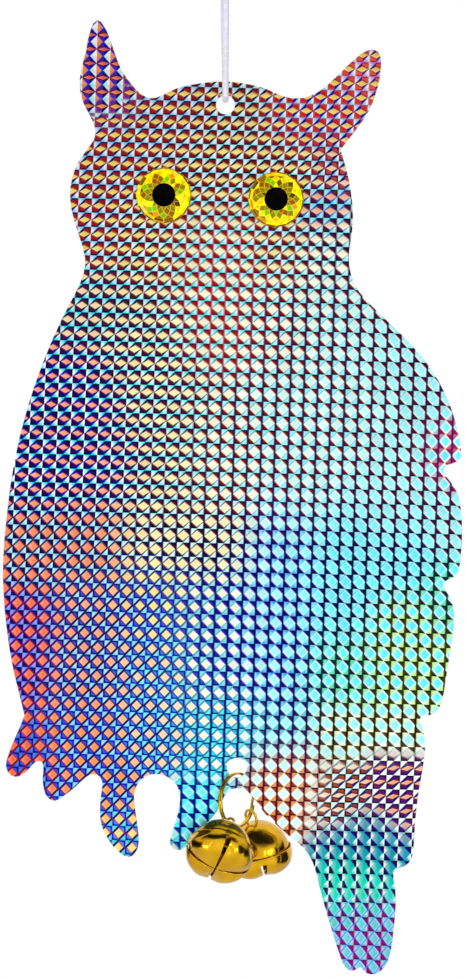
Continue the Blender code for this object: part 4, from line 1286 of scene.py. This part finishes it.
def turn_out(obj, center):
    """Turns an open sheet's faces away from a centre if most of them look towards it."""
    mesh = obj.data
    away = sum(poly.normal.dot(poly.center - Vector(center)) for poly in mesh.polygons)
    if away < 0:
        mesh.flip_normals()


print("petals of", PETAL_COLUMNS, "columns")

# %% [markdown]
# The bail is a loop of round wire that the split ring goes through. Its feet pass through the
# dome's top and are bent flat inside. It repeats the CAD bail's own height and width, as a smooth
# curve instead of straight pieces.

# %% Bail
BAIL_TOP = 3.0 * MM
FOOT_BEND = 0.4 * MM
FOOT_RISE = 0.6 * MM
ARCH_POINTS = 9


def make_bail(side, bell):
    """The bail's wire: feet inside the dome, straight legs, half a circle over the ring's wire."""
    node = np.array([v.co for v in nodes[f"{side}_bell_bail"].data.vertices]) - bell[0]
    lift, reach = node @ bell[3], node @ bell[2]
    half_width = np.abs(reach[lift > lift.max() - BAIL_TOP]).max() - BAIL_WIRE / 2
    foot = np.abs(reach).max()
    arch_z = lift.max() - BAIL_WIRE / 2 - half_width
    foot_z = lift.min() + BAIL_WIRE / 2
    turn = np.linspace(0, math.pi, ARCH_POINTS)
    arch = np.stack([0 * turn, half_width * np.cos(turn), arch_z + half_width * np.sin(turn)], 1)
    leg = [(0, foot, foot_z), (0, half_width + FOOT_BEND, foot_z),
           (0, half_width, foot_z + FOOT_RISE)]
    other = [(0, -y, z) for _, y, z in reversed(leg)]
    path = even_path(np.vstack([leg, arch, other]), spacing=0.2 * MM)
    bail = tube(f"{side}_gold_bail", set_in(bell, path), BAIL_WIRE / 2)
    bail.data.shade_smooth()
    return dress(bail, wire_gold, f"{side}_bell", [f"{side}_bell_bail"])


print(f"bail of {BAIL_WIRE / MM:.1f} mm wire")

# %% [markdown]
# The two bells are the same three pieces. They differ only in where they hang, how they lean and
# how far they are turned about their own axis.

# %% Both bells
for bell_side in ("left", "right"):
    bell_frame = bell_axes(bell_side)
    pieces = [make_dome(bell_side, bell_frame), make_cup(bell_side, bell_frame),
              make_bail(bell_side, bell_frame)]
    print(bell_side, "bell:", [len(piece.data.polygons) for piece in pieces], "faces")

# %% [markdown]
# The pellet that makes the sound is a plain steel ball, seen only through the slits, so it keeps
# its CAD mesh and gets a dull steel finish.

# %% Pellets
def pellet_material():
    """Steel with brown spots where it has begun to rust."""
    material, wire, shader = new_material("pellet_steel", Metallic=1.0, Roughness=0.35)
    steel = paint(wire, tint(150, 148, 144))
    rust = grain(wire, 700.0, 4.0)
    feed(steel.mixed(tint(90, 80, 70), rust.above(0.56, 0.2)), shader, "Base Color")
    return material


PELLETS = [f"{bell_side}_bell_pellet" for bell_side in ("left", "right")]
finish_nodes(PELLETS, pellet_material())
print("finished:", ", ".join(PELLETS))

# %% [markdown]
# ## The gem eyes
#
# Each eye is a clear acrylic gem over yellow mirror foil, with a black pupil. Its crown is cut in
# rows of kites, each row turned by half a kite against the one below. The corners of the kites lie
# on rings. A kite joins one corner of a ring, two of the next ring and one of the ring after it.
# Below the kites, three upright bands make the gem's side.

# %% Shape of the gem
GEM_SIDES = 16
# Each ring of corners: share of the radius, share of the height
GEM_RING_SHARES = [(1.0, 0.0), (1.0, 0.30), (0.95, 0.50), (0.86, 0.68), (0.74, 0.83), (0.60, 0.94),
                   (0.43, 1.0)]
GEM_BANDS = 3


def half_step(ring):
    """Whether a ring of corners is turned by half a step."""
    return ring > GEM_BANDS and (ring - GEM_BANDS) % 2 == 1


def gem_points(radius, height):
    """Rings of corners: radius share x cosine and sine of the angle round the gem.

    Every second ring of the kites stands half a step on.
    """
    step = 2 * math.pi / GEM_SIDES
    rings = []
    for index, (radial, lift) in enumerate(GEM_RING_SHARES):
        angle = step * (np.arange(GEM_SIDES) + (0.5 if half_step(index) else 0))
        rings.append(np.stack([radial * radius * np.cos(angle), 0 * angle - lift * height,
                               radial * radius * np.sin(angle)], 1))
    return np.concatenate(rings)


def gem_facets():
    """Rows with their facets' corners: bands, rim, kites, the facets at the pupil, the back."""
    n, last = GEM_SIDES, len(GEM_RING_SHARES) - 1
    k = np.arange(n)
    nxt = (k + 1) % n
    facets = [(band, np.stack([band * n + k, band * n + nxt,
                               (band + 1) * n + nxt, (band + 1) * n + k], 1))
              for band in range(GEM_BANDS)]
    low = GEM_BANDS * n
    facets.append((GEM_BANDS, np.stack([low + k, low + nxt, low + n + k], 1)))
    for ring in range(GEM_BANDS + 1, last):
        before, after = ((k - 1) % n, k) if half_step(ring) else (k, nxt)
        facets.append((ring, np.stack([(ring - 1) * n + k, ring * n + after, (ring + 1) * n + k,
                                       ring * n + before], 1)))
    inner = (last - 1) * n + (nxt if half_step(last) else k)
    facets.append((last, np.stack([last * n + k, last * n + nxt, inner], 1)))
    facets.append((last, (last * n + k)[None]))
    facets.append((0, k[None]))
    return facets


print(sum(len(facets) for _, facets in gem_facets()), "facets on a gem")

# %% [markdown]
# Every facet shows the foil at another angle, so each has one colour: lemon, gold, olive, umber,
# dark brown, green, pale yellow or amber. Which one is drawn by lot, with odds for each row, since
# the facets near the pupil look darker. Light that enters a clear stone on one side comes out on
# the other, so the outer facets away from the stronger lamp are mostly lemon.
#
# Each facet is a fan of triangles round its middle. The middle points keep the number 1 and the
# corners 0, which lets the material paint shade into each facet's middle and a highlight wherever
# two facets meet.

# %% Colours of the facets
GEM_COLORS = [tint(255, 240, 0), tint(244, 204, 0), tint(122, 124, 0), tint(138, 70, 0),
              tint(66, 38, 0), tint(112, 196, 0), tint(255, 250, 110), tint(226, 150, 0)]
GEM_ODDS = [
    # the three bands
    (0.00, 0.10, 0.15, 0.40, 0.25, 0.00, 0.00, 0.10),
    (0.05, 0.10, 0.20, 0.35, 0.20, 0.00, 0.00, 0.10),
    (0.45, 0.15, 0.03, 0.20, 0.05, 0.00, 0.04, 0.08),
    # the rim, two rows of kites, and the facets at the pupil
    (0.30, 0.15, 0.10, 0.20, 0.10, 0.05, 0.02, 0.08),
    (0.25, 0.12, 0.18, 0.15, 0.08, 0.14, 0.02, 0.06),
    (0.10, 0.06, 0.36, 0.16, 0.16, 0.14, 0.00, 0.02),
    (0.10, 0.10, 0.40, 0.18, 0.16, 0.06, 0.00, 0.00),
]
BRIGHT_SIDE = 0.35
BRIGHT_ROWS = (2, 3)
BRIGHT_ODDS = 0.8


def gem_mesh(points, seed):
    """Each facet becomes a fan of triangles round its middle, and all of a fan share one colour."""
    chance = np.random.default_rng(seed)
    corners, faces, colors, depth = [points], [], [], [np.zeros(len(points))]
    count = len(points)
    for row, facets in gem_facets():
        for facet in facets:
            middle = points[facet].mean(0)
            bright = row in BRIGHT_ROWS and middle[0] > BRIGHT_SIDE * points[:, 0].max()
            if bright and chance.random() < BRIGHT_ODDS:
                pick = 0
            else:
                pick = chance.choice(len(GEM_COLORS), p=GEM_ODDS[row])
            corners.append(middle[None])
            depth.append(np.ones(1))
            faces += [(a, b, count) for a, b in zip(facet, np.roll(facet, -1))]
            colors += [GEM_COLORS[pick]] * len(facet)
            count += 1
    return np.concatenate(corners), faces, colors, np.concatenate(depth)


print(len(GEM_COLORS), "facet colours")

# %% [markdown]
# The gem is clear, but glass over foil takes many bounces of light to come out right, and one sees
# the foil's yellow in every facet anyway. So the facets themselves are coloured, under a thin coat
# that keeps a little shine.

# %% Gem material
def gem_material():
    """Clear cut acrylic over foil: painted shade in each facet's middle, painted highlights along
    the lines between facets.
    """
    material, wire, shader = new_material("cut_gem", Roughness=0.3, Specular_IOR_Level=0.08,
                                          Coat_Weight=0.1)
    color, depth = stored_color(wire, "facet_color"), stored_number(wire, "depth")
    cloud = grain(wire, 500.0, 2.0)
    color = color.mixed(tint(150, 120, 0), cloud.above(0.58, 0.25) * 0.5)
    # painted shade: the middle of each facet is darkened towards brown
    color = color.mixed(tint(104, 66, 0), (depth - 0.62).above(0, 0.5) * 0.3)
    # painted highlight: a bright yellow line where two facets meet
    color = color.mixed(tint(250, 214, 0), (0.08 - depth).above(0, 0.16) * 0.8)
    feed(color, shader, "Base Color")
    return material


gem_yellow = gem_material()
print("material:", gem_yellow.name)

# %% [markdown]
# Each gem is fitted into its CAD gem's box. The rear eyes are the same shape, turned to face the
# other way, and every eye has its own lot of colours.

# %% Gems
GEM_EASE = 0.995
FIRST_LOT = 7


def make_gem(name, seed):
    """A gem on its CAD node's box; rear gems are the front shape turned to face the other way."""
    low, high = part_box(name)
    facing = -1 if high.y < 0 else 1
    points = gem_points((high.x - low.x) / 2 * GEM_EASE, high.y - low.y)
    local, faces, colors, depth = gem_mesh(points, seed)
    center = np.array(((low.x + high.x) / 2, high.y if facing < 0 else low.y, (low.z + high.z) / 2))
    gem = add_mesh(name + "_cut", center + local * (1, -facing, 1), faces)
    keep_coordinate(gem, "depth", depth)
    layer = gem.data.attributes.new("facet_color", "FLOAT_COLOR", "FACE")
    layer.data.foreach_set("color", np.array(colors, dtype=np.float32).ravel())
    face_outwards(gem)
    return dress(gem, gem_yellow, "owl", [name])


EYES = [f"{face}_{side}_eye" for face in ("front", "rear") for side in ("left", "right")]
for lot, eye in enumerate(EYES, FIRST_LOT):
    make_gem(eye + "_gem", lot)
print(len(EYES), "gems of", GEM_SIDES, "sides")

# %% [markdown]
# Foil, pad and pupil are thin flat discs that the CAD has right, so they keep their meshes and get
# their finishes only: crinkled yellow foil, white foam, and a black print that hardly shines.

# %% Foil, pad and pupil
def patchy_material(name, color, other, scale, **sockets):
    """A colour that drifts to another one in soft patches."""
    material, wire, shader = new_material(name, **sockets)
    patch = grain(wire, scale, 3.0)
    feed(paint(wire, color).mixed(other, patch.above(0.5, 0.4)), shader, "Base Color")
    feed(ridges(patch, 0.05 * MM, 0.4), shader, "Normal")
    return material


EYE_FINISHES = {
    "foil": patchy_material("yellow_foil", tint(255, 226, 20), tint(232, 186, 0), 300.0,
                            Metallic=0.9, Roughness=0.2),
    "pad": patchy_material("foam_pad", tint(238, 238, 232), tint(214, 214, 206), 2400.0,
                           Roughness=0.95),
    "pupil": patchy_material("black_pupil", tint(3, 3, 4), tint(8, 7, 7), 500.0, Roughness=0.5,
                             Specular_IOR_Level=0.0),
}
for part, finish in EYE_FINISHES.items():
    finish_nodes([f"{eye}_{part}" for eye in EYES], finish)
print("eye finishes:", ", ".join(EYE_FINISHES))
